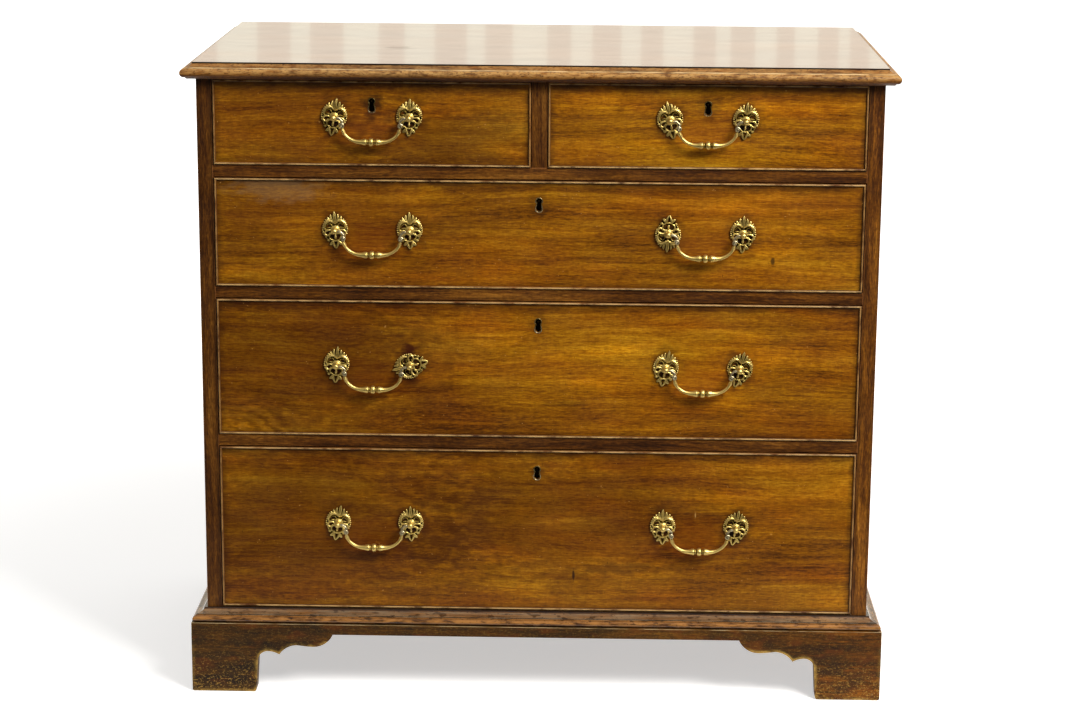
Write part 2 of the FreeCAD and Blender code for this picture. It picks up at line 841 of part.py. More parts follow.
def make_front(drawer):
    """The drawer front, rebated for its beads, socketed for the sides and bored for lock and handles."""
    inner_face = drawer.inner_face
    rebate_y = front_y + bead_rebate
    w = bead_width
    front = box(drawer.left, drawer.right, rebate_y, inner_face, drawer.low, drawer.top)
    face = box(drawer.left + w, drawer.right - w, front_y, rebate_y, drawer.low + w, drawer.top - w)
    front = front.fuse(face)
    cutters = front_tails(drawer, drawer.left, drawer.left + box_side_thickness)
    cutters += front_tails(drawer, drawer.right - box_side_thickness, drawer.right)
    inset = box_side_thickness - side_groove
    cutters.append(box(drawer.left + inset, drawer.right - inset, inner_face - front_groove, inner_face,
                       drawer.bottom_z, drawer.bottom_top))
    cutters.append(lock_box(drawer.centre, drawer.top))
    cutters.append(keyhole_prism(drawer.centre, drawer.key_z, 0, front_y, front_y + escutcheon_depth))
    cutters.append(keyhole_prism(drawer.centre, drawer.key_z, escutcheon_wall, front_y, inner_face))
    for x, _, _ in drawer.posts():
        cutters.append(shank_hole(x, drawer.post_z, front_y, inner_face))
    return front.cut(cutters)


def bead_run(length_low, length_high, edge, inward, place):
    """A strip with a round nose, standing proud of the face, along one edge."""
    radius = bead_width / 2
    nose = arc_points((radius, front_y - bead_projection + radius), radius, 180, 360, 4)
    corners = [(0, front_y + bead_rebate)] + nose + [(bead_width, front_y + bead_rebate)]
    face = polygon_face(corners, lambda across, y: place(length_low, edge + inward * across, y))
    return face.extrude(place(length_high, 0, 0) - place(length_low, 0, 0))


def make_beads(drawer):
    """Four cock beads, mitred at the corners."""
    w = bead_width
    left, right, low, top = drawer.left, drawer.right, drawer.low, drawer.top
    y_low = front_y - bead_projection
    y_high = front_y + bead_rebate

    def wedge(corners):
        start = corners[0]
        steps = [(p,) for p in corners[1:]] + [(start,)]
        return elevation_prism((start, steps), y_low, y_high)

    def along_x(x, across, y):
        return point(x, y, across)

    def along_z(z, across, y):
        return point(across, y, z)

    top_bead = bead_run(left, right, top, -1, along_x).common(
        wedge([(left, top), (right, top), (right - w, top - w), (left + w, top - w)]))
    low_bead = bead_run(left, right, low, 1, along_x).common(
        wedge([(left, low), (left + w, low + w), (right - w, low + w), (right, low)]))
    left_bead = bead_run(low, top, left, 1, along_z).common(
        wedge([(left, low), (left, top), (left + w, top - w), (left + w, low + w)]))
    right_bead = bead_run(low, top, right, -1, along_z).common(
        wedge([(right, low), (right - w, low + w), (right - w, top - w), (right, top)]))
    return group([top_bead, low_bead, left_bead, right_bead])


def make_box(drawer):
    """Two dovetailed sides and the back."""
    t = box_side_thickness
    groove_y = drawer.inner_face - front_groove
    sides = []
    for x_low, groove_low in ((drawer.left, drawer.left + t - side_groove), (drawer.right - t, drawer.right - t)):
        x_high = x_low + t
        side = box(x_low, x_high, drawer.inner_face, drawer.end_y, drawer.side_low, drawer.side_top)
        side = side.fuse(front_tails(drawer, x_low, x_high)).removeSplitter()
        groove = box(groove_low, groove_low + side_groove, groove_y, drawer.end_y,
                     drawer.bottom_z, drawer.bottom_top)
        side = side.cut([groove] + back_pins(drawer, x_low, x_high))
        sides.append(side)
    back = box(drawer.left + t, drawer.right - t, drawer.end_y - box_back_thickness, drawer.end_y,
               drawer.bottom_top, drawer.side_top - back_top_drop)
    pins = back_pins(drawer, drawer.left, drawer.left + t) + back_pins(drawer, drawer.right - t, drawer.right)
    back = back.fuse(pins).removeSplitter()
    return group(sides + [back])


def make_box_bottom(drawer):
    inset = box_side_thickness - side_groove + bottom_shrink_gap
    return box(drawer.left + inset, drawer.right - inset, drawer.inner_face - front_groove, drawer.end_y,
               drawer.bottom_z, drawer.bottom_top)


def save_drawer(drawer):
    name = drawer.name
    save(name + "_front", make_front(drawer))
    save(name + "_cock_beads", make_beads(drawer))
    save(name + "_box", make_box(drawer))
    save(name + "_bottom", make_box_bottom(drawer))
    lock = make_lock(drawer.centre, drawer.top, drawer.key_z)
    save(name + "_lock", group([lock, make_escutcheon(drawer.centre, drawer.key_z)]))
    save(name + "_lock_bolt", make_bolt(drawer.centre, drawer.top))
    fittings = []
    for x, turn, inward in drawer.posts():
        fittings.append(make_rose(x, drawer.post_z, turn))
        fittings += make_post(x, drawer.post_z, inward)
    save(name + "_handle_posts", group(fittings))
    if len(drawer.handles) == 1:
        save(name + "_bail", make_bail(drawer.handles[0], drawer.post_z))
        return
    for side, x in zip(("left", "right"), drawer.handles):
        save(name + "_" + side + "_bail", make_bail(x, drawer.post_z))


def make_drawers():
    half = muntin_width / 2
    inner = inner_half
    return [
        Drawer("short_left_drawer", -inner, -half, short_z, short_opening, short_handle_rise, short_left_turns),
        Drawer("short_right_drawer", half, inner, short_z, short_opening, short_handle_rise, short_right_turns),
        Drawer("second_drawer", -inner, inner, second_z, second_opening, second_handle_rise, second_turns),
        Drawer("third_drawer", -inner, inner, third_z, third_opening, third_handle_rise, third_turns),
        Drawer("fourth_drawer", -inner, inner, fourth_z, fourth_opening, fourth_handle_rise, fourth_turns),
    ]


def main():
    os.makedirs("parts", exist_ok=True)
    side = make_side()
    front_foot = make_front_foot()
    rear_foot = make_rear_foot()
    save("top_board", make_top_board())
    save("left_side_panel", side)
    save("right_side_panel", mirrored(side))
    save("case_bottom", make_bottom())
    save("back_boards", make_back_boards())
    save("drawer_rails", make_rails())
    save("muntin", make_muntin())
    save("drawer_runners", make_runners())
    save("dust_boards", make_dust_boards())
    save("drawer_stops", make_stops())
    save("front_base_moulding", make_front_moulding())
    save("side_base_mouldings", make_side_mouldings())
    save("base_frame", make_base_frame())
    save("front_left_foot", front_foot)
    save("front_right_foot", mirrored(front_foot))
    save("rear_left_foot", rear_foot)
    save("rear_right_foot", mirrored(rear_foot))
    for drawer in make_drawers():
        save_drawer(drawer)


main()
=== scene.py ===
import json
import math

import bmesh
import bpy
from mathutils import Matrix, Vector
from mathutils.bvhtree import BVHTree


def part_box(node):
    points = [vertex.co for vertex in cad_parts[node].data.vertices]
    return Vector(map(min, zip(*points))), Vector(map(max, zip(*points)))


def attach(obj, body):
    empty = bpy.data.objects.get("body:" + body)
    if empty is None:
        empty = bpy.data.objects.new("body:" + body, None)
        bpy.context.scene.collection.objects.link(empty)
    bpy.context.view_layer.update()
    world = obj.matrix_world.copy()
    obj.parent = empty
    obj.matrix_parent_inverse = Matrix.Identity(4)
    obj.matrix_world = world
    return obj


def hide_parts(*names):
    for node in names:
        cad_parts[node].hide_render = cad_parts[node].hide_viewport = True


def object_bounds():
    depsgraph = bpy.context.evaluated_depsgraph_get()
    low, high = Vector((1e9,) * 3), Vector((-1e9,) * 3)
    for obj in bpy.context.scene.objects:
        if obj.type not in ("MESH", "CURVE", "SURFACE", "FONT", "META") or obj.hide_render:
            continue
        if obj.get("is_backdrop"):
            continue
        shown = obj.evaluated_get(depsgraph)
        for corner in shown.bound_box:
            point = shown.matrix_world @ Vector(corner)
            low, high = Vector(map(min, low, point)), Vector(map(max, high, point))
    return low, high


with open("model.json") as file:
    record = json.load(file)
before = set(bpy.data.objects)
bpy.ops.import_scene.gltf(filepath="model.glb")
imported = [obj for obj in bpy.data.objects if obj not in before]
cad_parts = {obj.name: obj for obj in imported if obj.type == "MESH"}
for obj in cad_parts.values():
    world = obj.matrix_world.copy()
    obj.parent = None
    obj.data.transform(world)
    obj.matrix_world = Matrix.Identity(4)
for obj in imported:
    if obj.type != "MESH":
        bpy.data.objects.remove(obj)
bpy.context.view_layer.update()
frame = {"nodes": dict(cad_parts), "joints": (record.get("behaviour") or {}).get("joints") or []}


# ------------------------------------------------------------------ side panels
# The two sides of the case are single boards of mahogany, grain upright. Their front edges show as the
# dark stiles beside the drawers. Hand planed, stained dark and waxed, with the arrises softly worn.
mm = 0.001


def colour(hex_code):
    """An sRGB hex colour as linear red, green, blue and alpha."""
    parts = [int(hex_code[i:i + 2], 16) / 255 for i in (1, 3, 5)]
    return tuple(c / 12.92 if c <= 0.04045 else ((c + 0.055) / 1.055) ** 2.4 for c in parts) + (1.0,)


def add(tree, kind, sockets=None, out=0, stops=(), **settings):
    """Adds one node with its settings, its values and its links, and gives back one of its outputs."""
    node = tree.nodes.new(kind)
    for name, value in settings.items():
        setattr(node, name, value)
    for key, value in (sockets or {}).items():
        if isinstance(value, bpy.types.NodeSocket):
            tree.links.new(value, node.inputs[key])
        else:
            node.inputs[key].default_value = value
    for i, (position, tone) in enumerate(stops):
        points = node.color_ramp.elements
        stop = points[i] if i < 2 else points.new(position)
        stop.position = position
        stop.color = tone
    return node.outputs[out] if node.outputs else None


def empty_material(name):
    """A new material with no nodes in it yet."""
    material = bpy.data.materials.new(name)
    material.use_nodes = True
    material.node_tree.nodes.clear()
    return material


def place_on(tree, grain="X", offset=(0, 0, 0)):
    """The place on a piece in millimetres, turned so that its first axis runs along the grain."""
    turn = {"X": (0, 0, 0), "Y": (0, 0, -math.pi / 2), "Z": (0, math.pi / 2, 0)}[grain]
    spot = add(tree, "ShaderNodeTexCoord", out="Object")
    return add(tree, "ShaderNodeMapping",
               {"Vector": spot, "Rotation": turn, "Scale": (1 / mm,) * 3, "Location": offset})


def patches(tree, place, size, low=0.0, high=1.0, least=0.0, most=1.0, detail=2.0, rough=0.5):
    """How strongly a mark shows from place to place: clouds about size millimetres long in each direction,
    from least to most as the noise in them rises from low to high."""
    scaled = add(tree, "ShaderNodeVectorMath", {0: place, 1: [1 / s for s in size]}, operation="MULTIPLY")
    noise = add(tree, "ShaderNodeTexNoise", {"Vector": scaled, "Scale": 1.0, "Detail": detail, "Roughness": rough})
    return add(tree, "ShaderNodeMapRange", {0: noise, 1: low, 2: high, 3: least, 4: most},
               interpolation_type="SMOOTHSTEP")


def overlay(material, factor, tone, blend="MIX", within=None):
    """Lays a stain, wear or dirt over the colour that a material already has, as strongly as a factor says,
    and only within a second one where it is given. MULTIPLY and DODGE darken and lighten the colour without
    hiding its grain."""
    tree = material.node_tree
    if within is not None:
        factor = add(tree, "ShaderNodeMath", {0: factor, 1: within}, operation="MULTIPLY")
    socket = tree.nodes["Surface"].inputs["Base Color"]
    before = socket.links[0].from_socket
    after = add(tree, "ShaderNodeMix", {0: factor, 6: before, 7: colour(tone)}, out=2, data_type="RGBA",
                blend_type=blend)
    tree.links.new(after, socket)


def board_wood(name, grain, tones, line, ripple, dullness, offset=(0, 0, 0), coat=0.0, relief=0.12, shine=0.32):
    """Sawn and planed wood, its grain along one axis. tones run from dark to light; line is the width of a
    grain band in millimetres; ripple is the strength of the short cross figure; dullness is the roughness,
    from about 0.2 for polish over wax to 0.6 for bare wood."""
    material = empty_material(name)
    tree = material.node_tree
    place = place_on(tree, grain, offset)
    # The grain wanders by up to 17 mm to either side over lengths of about 420 mm.
    wander = add(tree, "ShaderNodeVectorMath", {0: place, 1: (1 / 420, 1 / 110, 1 / 110)}, operation="MULTIPLY")
    wander = add(tree, "ShaderNodeTexNoise", {"Vector": wander, "Scale": 1.0, "Detail": 2.0}, out="Color")
    wander = add(tree, "ShaderNodeVectorMath", {0: wander, 1: (0.5,) * 3}, operation="SUBTRACT")
    bent = add(tree, "ShaderNodeVectorMath", {0: wander, 1: (0, 34, 34), 2: place}, operation="MULTIPLY_ADD")
    # Broad clouds of light and dark, then grain bands, fine lines and short flecks, each with its share.
    tone = patches(tree, place, (230, 70, 70), most=0.34)
    for size, share, low in (((380, line, line), 0.30, 0.05), ((90, 2.6, 2.6), 0.24, 0.1),
                             ((9, 1.3, 1.3), 0.20, 0.28)):
        layer = patches(tree, bent, size, low, 1 - low, detail=3.0, rough=0.6)
        tone = add(tree, "ShaderNodeMath", {0: layer, 1: share, 2: tone}, operation="MULTIPLY_ADD")
    steps = [(0.31 + 0.46 * i / (len(tones) - 1), colour(t)) for i, t in enumerate(tones)]
    surface = add(tree, "ShaderNodeValToRGB", {"Fac": tone}, stops=steps)
    hatch = patches(tree, place, (2.6, 11, 11), 0.36, 0.64, 1 - ripple, 1 + ripple * 0.35)
    hatch = add(tree, "ShaderNodeCombineColor", {0: hatch, 1: hatch, 2: hatch})
    surface = add(tree, "ShaderNodeMix", {0: 1.0, 6: surface, 7: hatch}, out=2, data_type="RGBA",
                  blend_type="MULTIPLY")
    # Mahogany's pores are about 0.2 mm wide; they are drawn coarser, so that they show at a metre.
    pore = patches(tree, bent, (7, 0.9, 0.9), 0.58, 0.7, 0.0, 0.42, 1.0)
    streak = patches(tree, bent, (130, 3.0, 3.0), 0.62, 0.78, 0.0, 0.34, 3.0)
    dark = add(tree, "ShaderNodeMath", {0: pore, 1: streak}, operation="MAXIMUM")
    surface = add(tree, "ShaderNodeMix", {0: dark, 6: surface, 7: colour(tones[0])}, out=2, data_type="RGBA")
    sheen = patches(tree, place, (60, 30, 30), 0.3, 0.7, dullness * 0.9, dullness * 1.15)
    height = add(tree, "ShaderNodeMath", {0: pore, 1: -1.0, 2: tone}, operation="MULTIPLY_ADD")
    bump = add(tree, "ShaderNodeBump", {"Strength": relief, "Distance": 0.15 * mm, "Height": height})
    shader = add(tree, "ShaderNodeBsdfPrincipled",
                 {"Base Color": surface, "Roughness": sheen, "Normal": bump, "IOR": 1.45,
                  "Specular IOR Level": shine, "Coat Weight": coat, "Coat Roughness": 0.08}, name="Surface")
    add(tree, "ShaderNodeOutputMaterial", {0: shader})
    return material


def rubbed(material, tone, size, amount):
    """Polish rubbed off where hands and dusters pass, along the parts marked worn."""
    tree = material.node_tree
    mark = add(tree, "ShaderNodeAttribute", out="Fac", attribute_name="worn")
    broken = patches(tree, place_on(tree), size, 0.32, 0.6, 0.0, amount, 4.0, 0.65)
    overlay(material, mark, tone, within=broken)


def worn_and_highlit_line(material, tone):
    """A pale line along the fillets, where the polish has gone altogether, and partly a painted highlight: worn is
    1 there, less elsewhere.
    """
    tree = material.node_tree
    mark = add(tree, "ShaderNodeAttribute", out="Fac", attribute_name="worn")
    fillet = add(tree, "ShaderNodeMapRange", {0: mark, 1: 0.92, 2: 0.99, 3: 0.0, 4: 1.0})
    broken = patches(tree, place_on(tree), (36, 36, 6), 0.34, 0.6, 0.1, 0.95, 3.0)
    overlay(material, fillet, tone, within=broken)


def solids_of(node):
    """The closed solids of a CAD node as bmeshes, one for each board or casting in it."""
    mesh = frame["nodes"][node].data
    keys = [tuple(round(c / (0.001 * mm)) for c in v.co) for v in mesh.vertices]
    solids = []
    bm, corners, unpaired = bmesh.new(), {}, set()
    for face in mesh.polygons:
        ring = []
        for i in face.vertices:
            if keys[i] not in corners:
                corners[keys[i]] = bm.verts.new(mesh.vertices[i].co)
            ring.append(keys[i])
        if len(set(ring)) == len(ring):
            bm.faces.new([corners[k] for k in ring])
            for a, b in zip(ring, ring[1:] + ring[:1]):
                if (b, a) in unpaired:
                    unpaired.remove((b, a))
                else:
                    unpaired.add((a, b))
        if not unpaired:
            solids.append(bm)
            bm, corners = bmesh.new(), {}
    return solids


def ease_edges(bm, width, edges=None, segments=2, joint=None):
    """Rounds the arrises of a board, and marks the rounded faces as worn. Those at the height of a joint
    stay sharp, so that the joint doesn't show."""
    layer = bm.faces.layers.float.get("worn") or bm.faces.layers.float.new("worn")
    if edges is None:
        bmesh.ops.dissolve_limit(bm, angle_limit=math.radians(1), verts=bm.verts, edges=bm.edges)
        edges = [e for e in bm.edges if e.is_manifold and e.calc_face_angle(0) > math.radians(40)
                 and not (joint and all(abs(v.co.z - joint) < 0.02 * mm for v in e.verts))]
    rounded = bmesh.ops.bevel(bm, geom=edges, offset=width, segments=segments, profile=0.5, affect="EDGES",
                              clamp_overlap=True)
    for face in rounded["faces"]:
        face[layer] = 1.0


def as_mesh(name, bm):
    """A bmesh as a mesh; the bmesh goes."""
    mesh = bpy.data.meshes.new(name)
    bm.to_mesh(mesh)
    bm.free()
    return mesh


def in_scene(name, data):
    """A new object in the scene, at the origin."""
    item = bpy.data.objects.new(name, data)
    bpy.context.scene.collection.objects.link(item)
    return item


def finished(name, solids, body, materials, stands_for, crease=32):
    """Joins solids, each with the number of its material, or None where its faces have theirs already, into
    one piece that rides on a body."""
    whole = bmesh.new()
    for bm, number in solids:
        for face in bm.faces:
            face.material_index = face.material_index if number is None else number
        part = as_mesh("part", bm)
        whole.from_mesh(part)
        bpy.data.meshes.remove(part)
    mesh = as_mesh(name, whole)
    mesh.shade_smooth()
    mesh.set_sharp_from_angle(angle=math.radians(crease))
    piece = in_scene(name, mesh)
    for material in materials:
        mesh.materials.append(material)
    # The shading follows the large faces, so that flat boards mirror flatly up to their rounded arrises.
    piece.modifiers.new("weights", "WEIGHTED_NORMAL").keep_sharp = True
    shown = piece.evaluated_get(bpy.context.evaluated_depsgraph_get())
    piece.data = bpy.data.meshes.new_from_object(shown)
    piece.data.name = name
    piece.modifiers.clear()
    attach(piece, body)
    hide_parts(*stands_for)


def eased(node, width, materials, pick=lambda centre: 0, body="case", extras=(), joint=None, sole=0.0):
    """A CAD node again, with the arrises of its boards eased by hand, and those on the floor rounder."""
    solids = []
    for bm in solids_of(node):
        centre = sum((v.co for v in bm.verts), Vector()) / len(bm.verts)
        if sole:
            bmesh.ops.dissolve_limit(bm, angle_limit=math.radians(1), verts=bm.verts, edges=bm.edges)
            ease_edges(bm, sole, [e for e in bm.edges if all(v.co.z < 0.02 * mm for v in e.verts)], 4)
        ease_edges(bm, width, joint=joint)
        for v in bm.verts:
            v.co.z = max(v.co.z, 0.0)
        solids.append((bm, pick(centre)))
    finished(node + "_eased", solids + list(extras), body, materials, [node])


case_tones = ("#1E0C02", "#412107", "#643A0E", "#8A591E")
case_dullness = 0.38
case_rubbed = "#9A5F2E"
panel_arris = 0.9 * mm
panel_low, panel_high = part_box("left_side_panel")


def aged_stiles(material):
    """Darker along both edges of the stiles, painted light that makes the right side lighter, and old bruises."""
    tree = material.node_tree
    place = place_on(tree)
    axes = add(tree, "ShaderNodeSeparateXYZ", {0: place}).node.outputs
    stile = add(tree, "ShaderNodeMath", {0: axes[1], 1: panel_low.y / mm, 2: 2.0}, operation="COMPARE")
    aside = add(tree, "ShaderNodeMath", {0: axes[0]}, operation="ABSOLUTE")
    for edge_x, reach, most in ((panel_high.x, 6.0, 0.8), (panel_low.x, 5.0, 0.6)):
        gap = add(tree, "ShaderNodeMath", {0: aside, 1: -edge_x / mm}, operation="SUBTRACT")
        gap = add(tree, "ShaderNodeMath", {0: gap}, operation="ABSOLUTE")
        dirt = add(tree, "ShaderNodeMapRange", {0: gap, 1: 0.5, 2: reach, 3: most, 4: 0.0})
        broken = patches(tree, place, (6, 6, 40), 0.25, 0.6, 0.4, 1.0, 3.0)
        dirt = add(tree, "ShaderNodeMath", {0: dirt, 1: broken}, operation="MULTIPLY")
        overlay(material, dirt, "#120702", within=stile)
    # Painted light: lighter towards the right side of the case, where the lamp falls more strongly.
    lit_side = add(tree, "ShaderNodeMapRange", {0: axes[0], 1: 100.0, 2: 440.0, 3: 0.0, 4: 0.9})
    overlay(material, lit_side, "#C0C2AA", "DODGE")
    overlay(material, patches(tree, place, (7, 7, 34), 0.48, 0.66, 0.0, 0.35, 3.0), "#2A1004")


# Mahogany under old wax: nearly black in its dark grain, with a soft low shine.
upright_mahogany = board_wood("mahogany_case_upright_grain", "Z", case_tones, 14, 0.1, case_dullness)
aged_stiles(upright_mahogany)
rubbed(upright_mahogany, case_rubbed, (5, 5, 30), 0.8)
for side in ("left_side_panel", "right_side_panel"):
    eased(side, panel_arris, [upright_mahogany])


# ------------------------------------------------------------------ rails and muntin
# Three rails tie the sides together between the drawers, tenoned into the side panels, and the muntin
# parts the two short drawers. The same dark waxed mahogany as the sides.
rail_arris = 0.5 * mm


def mottled(material, size, low, high, most, tone, blend="MIX", detail=3.0):
    """Clouds of a tone all over a board: see patches and overlay."""
    tree = material.node_tree
    overlay(material, patches(tree, place_on(tree), size, low, high, 0.0, most, detail), tone, blend)


# The same waxed mahogany, but the rails have paler clouds where drawers have rubbed the wax away.
level_mahogany = board_wood("mahogany_case_level_grain", "X", case_tones, 8, 0.1, case_dullness, (40, 300, 90))
mottled(level_mahogany, (90, 20, 9), 0.4, 0.64, 0.8, "#A0A088", "DODGE")
rubbed(level_mahogany, case_rubbed, (40, 5, 5), 0.7)
eased("drawer_rails", rail_arris, [level_mahogany])
eased("muntin", rail_arris, [upright_mahogany])


# ------------------------------------------------------------------ inside and back of the case
# Runners, dust boards, stops, the case bottom and the back boards are oak, planed and left bare, so they
# have gone dull and grey-brown. The back boards are nailed into their rebates with rose-headed nails.
oak_tones = ("#573A22", "#795635", "#977148", "#B38D60")
brown_oak_tones = ("#452C19", "#664528", "#84603A", "#A07A4E")
oak_dullness = 0.62
nail_head = 7.0 * mm
nail_rise = 0.24               # of the head's width
nail_point = 0.12              # half the width of its blunt point, of the head's width
nail_seed = 4
nail_inset = 6.0 * mm
nail_rows = (0.2, 0.78)        # of the way up each board
back_arris = 1.6 * mm

# Bare oak scatters the light and shows no shine; every other back board is browner, from another tree.
oak_across = board_wood("oak_bare_grain_across", "X", oak_tones, 22, 0.08, oak_dullness, (0, 60, 0))
oak_brown = board_wood("oak_brown_grain_across", "X", brown_oak_tones, 26, 0.08, oak_dullness, (500, 160, 700))
oak_deep = board_wood("oak_bare_grain_deep", "Y", oak_tones, 16, 0.08, oak_dullness, (0, 0, 30))
for wood, size in ((oak_across, (90, 60, 24)), (oak_brown, (120, 60, 30)), (oak_deep, (60, 90, 24))):
    mottled(wood, size, 0.48, 0.74, 0.4, "#3A2818", detail=4.0)


def rusty_iron():
    """Forged iron left to rust: black scale and brown blotches, without shine."""
    material = empty_material("iron_forged_nail_rusty")
    tree = material.node_tree
    rust = patches(tree, place_on(tree), (2, 2, 2), 0.35, 0.65)
    rust = add(tree, "ShaderNodeMix", {0: rust, 6: colour("#17120F"), 7: colour("#4A2C1C")}, out=2,
               data_type="RGBA")
    rust = add(tree, "ShaderNodeBsdfPrincipled", {"Base Color": rust, "Roughness": 0.7}, name="Surface")
    add(tree, "ShaderNodeOutputMaterial", {0: rust})
    return material


nail_iron = rusty_iron()


def as_made(item):
    """What an object's modifiers make of it, as a bmesh; the object goes."""
    bpy.context.view_layer.update()
    mesh = bpy.data.meshes.new_from_object(item.evaluated_get(bpy.context.evaluated_depsgraph_get()))
    bm = bmesh.new()
    bm.from_mesh(mesh)
    bpy.data.meshes.remove(mesh)
    bpy.data.objects.remove(item)
    return bm


def node_group(name, inputs):
    """A new geometry node tree with its inputs, and their identifiers by name."""
    tree = bpy.data.node_groups.new(name, "GeometryNodeTree")
    tree.interface.new_socket("Geometry", in_out="INPUT", socket_type="NodeSocketGeometry")
    tree.interface.new_socket("Geometry", in_out="OUTPUT", socket_type="NodeSocketGeometry")
    found = {}
    for label, kind in inputs:
        found[label] = tree.interface.new_socket(label, in_out="INPUT", socket_type="NodeSocket" + kind).identifier
    return tree, found


def nails_at(places):
    """Rose-headed nails standing on the back, each turned and hammered a little differently."""
    tree, inputs = node_group("hand_made_nails", (("Head width", "Float"), ("Seed", "Int"), ("Iron", "Material")))
    given = add(tree, "NodeGroupInput").node.outputs
    half = add(tree, "ShaderNodeMath", {0: given["Head width"], 1: 0.5}, operation="MULTIPLY")
    point = add(tree, "ShaderNodeMath", {0: given["Head width"], 1: nail_point}, operation="MULTIPLY")
    rise = add(tree, "ShaderNodeMath", {0: given["Head width"], 1: nail_rise}, operation="MULTIPLY")
    head = add(tree, "GeometryNodeMeshCone", {"Vertices": 5, "Radius Bottom": half, "Radius Top": point,
                                              "Depth": rise})
    turn = add(tree, "FunctionNodeRandomValue", {0: (-1.66, -3.1, 0), 1: (-1.48, 3.1, 0), "Seed": given["Seed"]},
               data_type="FLOAT_VECTOR")
    size = add(tree, "FunctionNodeRandomValue", {2: 0.8, 3: 1.15, "Seed": given["Seed"]}, out=1, data_type="FLOAT")
    nails = add(tree, "GeometryNodeInstanceOnPoints", {"Points": given["Geometry"], "Instance": head,
                                                       "Rotation": turn, "Scale": size})
    solid = add(tree, "GeometryNodeRealizeInstances", {"Geometry": nails})
    forged = add(tree, "GeometryNodeSetMaterial", {"Geometry": solid, "Material": given["Iron"]})
    add(tree, "NodeGroupOutput", {0: forged})
    marks = bpy.data.meshes.new("nail_places")
    marks.from_pydata(places, [], [])
    item = in_scene("nail_places", marks)
    modifier = item.modifiers.new("nails", "NODES")
    modifier.node_group = tree
    modifier[inputs["Head width"]] = nail_head
    modifier[inputs["Seed"]] = nail_seed
    modifier[inputs["Iron"]] = nail_iron
    return as_made(item)


back_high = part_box("back_boards")[1]
nail_places = []
for board in solids_of("back_boards"):
    heights = [v.co.z for v in board.verts]
    board.free()
    low, high = min(heights), max(heights)
    nail_places += [(side * (back_high.x - nail_inset), back_high.y, low + (high - low) * share)
                    for side in (-1, 1) for share in nail_rows]
board_heights = sorted({z for _, _, z in nail_places})[::2]
eased("back_boards", back_arris, [oak_across, oak_brown, nail_iron],
      lambda centre: sum(1 for z in board_heights if z < centre.z) % 2, extras=[(nails_at(nail_places), 2)])
for lining, arris, oak in (("case_bottom", 0.6 * mm, oak_across), ("dust_boards", 0.3 * mm, oak_across),
                           ("drawer_runners", 0.5 * mm, oak_deep), ("drawer_stops", 0.5 * mm, oak_deep)):
    eased(lining, arris, [oak])


# ------------------------------------------------------------------ top board
# One board whose front edge and ends are moulded: a small step, a shallow hollow and a bold round nose.
# French polished, so that it mirrors the room, and rubbed back to bare warm brown along the nose, where it is also
# painted lighter as a highlight.
step_depth = 2.0 * mm
hollow_width = 15.0 * mm
hollow_fall = 4.5 * mm
nose_fillet = 1.0 * mm
nose_underside = 2.0 * mm
bolt_throw = 7.0 * mm
mortice_side_gap = 1.0 * mm
mortice_end_gap = 2.0 * mm
cup_place = (-205, -60, 889)   # millimetres


def arc(start, middle, end, count):
    """Points of the circle through three points of a profile, start and end included."""
    (ax, ay), (bx, by), (cx, cy) = start, middle, end
    d = 2 * (ax * (by - cy) + bx * (cy - ay) + cx * (ay - by))
    ux = ((ax * ax + ay * ay) * (by - cy) + (bx * bx + by * by) * (cy - ay) + (cx * cx + cy * cy) * (ay - by)) / d
    uy = ((ax * ax + ay * ay) * (cx - bx) + (bx * bx + by * by) * (ax - cx) + (cx * cx + cy * cy) * (bx - ax)) / d
    radius = math.hypot(ax - ux, ay - uy)
    first = math.atan2(ay - uy, ax - ux)
    through = (math.atan2(by - uy, bx - ux) - first) % (2 * math.pi)
    sweep = (math.atan2(cy - uy, cx - ux) - first) % (2 * math.pi)
    if through > sweep:
        sweep -= 2 * math.pi
    return [(ux + radius * math.cos(first + sweep * i / count), uy + radius * math.sin(first + sweep * i / count))
            for i in range(count + 1)]


def skin(bm, stations, marks=None, closed=False):
    """A skin over rows of points, each a closed section: capped at its ends, or closed into a ring. marks
    says how worn each point of a section is."""
    layer = bm.verts.layers.float.get("worn") or bm.verts.layers.float.new("worn")
    rows = []
    for station in stations:
        row = [bm.verts.new(p) for p in station]
        for vert, value in zip(row, marks or [0.0] * len(row)):
            vert[layer] = value
        rows.append(row)
    made = []
    for row, following in zip(rows, rows[1:] + rows[:1] if closed else rows[1:]):
        for i in range(len(row)):
            j = (i + 1) % len(row)
            made.append(bm.faces.new((row[i], row[j], following[j], following[i])))
    if not closed:
        made += [bm.faces.new(rows[0][::-1]), bm.faces.new(rows[-1])]
    bmesh.ops.recalc_face_normals(bm, faces=made)


top_low, top_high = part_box("top_board")
nose_radius = (top_high.z - step_depth - hollow_fall - nose_fillet - nose_underside - top_low.z) / 2
nose_middle = top_low.z + nose_underside + nose_radius
hollow_foot = top_high.z - step_depth - hollow_fall
hollow = arc((hollow_width, top_high.z - step_depth),
             ((hollow_width + nose_radius) / 2, top_high.z - step_depth - hollow_fall * 0.7),
             (nose_radius, hollow_foot), 8)
nose = arc((nose_radius, nose_middle + nose_radius), (0, nose_middle), (nose_radius, nose_middle - nose_radius), 18)
# The moulded edge from the flat field outwards and down, and how worn it is at each point, which also paints a
# highlight: a little in the hollow, through to the wood along the fillet, and on the nose most at its front.
top_edge = [(hollow_width, top_high.z)] + hollow + nose + [(nose_radius + nose_underside, top_low.z)]
edge_wear_and_highlight = [0.0] + [0.45] * (len(hollow) - 1) + [1.0, 1.0]
edge_wear_and_highlight += [max(0.0, 0.9 * math.sin(math.pi * min(1, (i + 3) / 15))) for i in range(1, len(nose))] + [0.0]


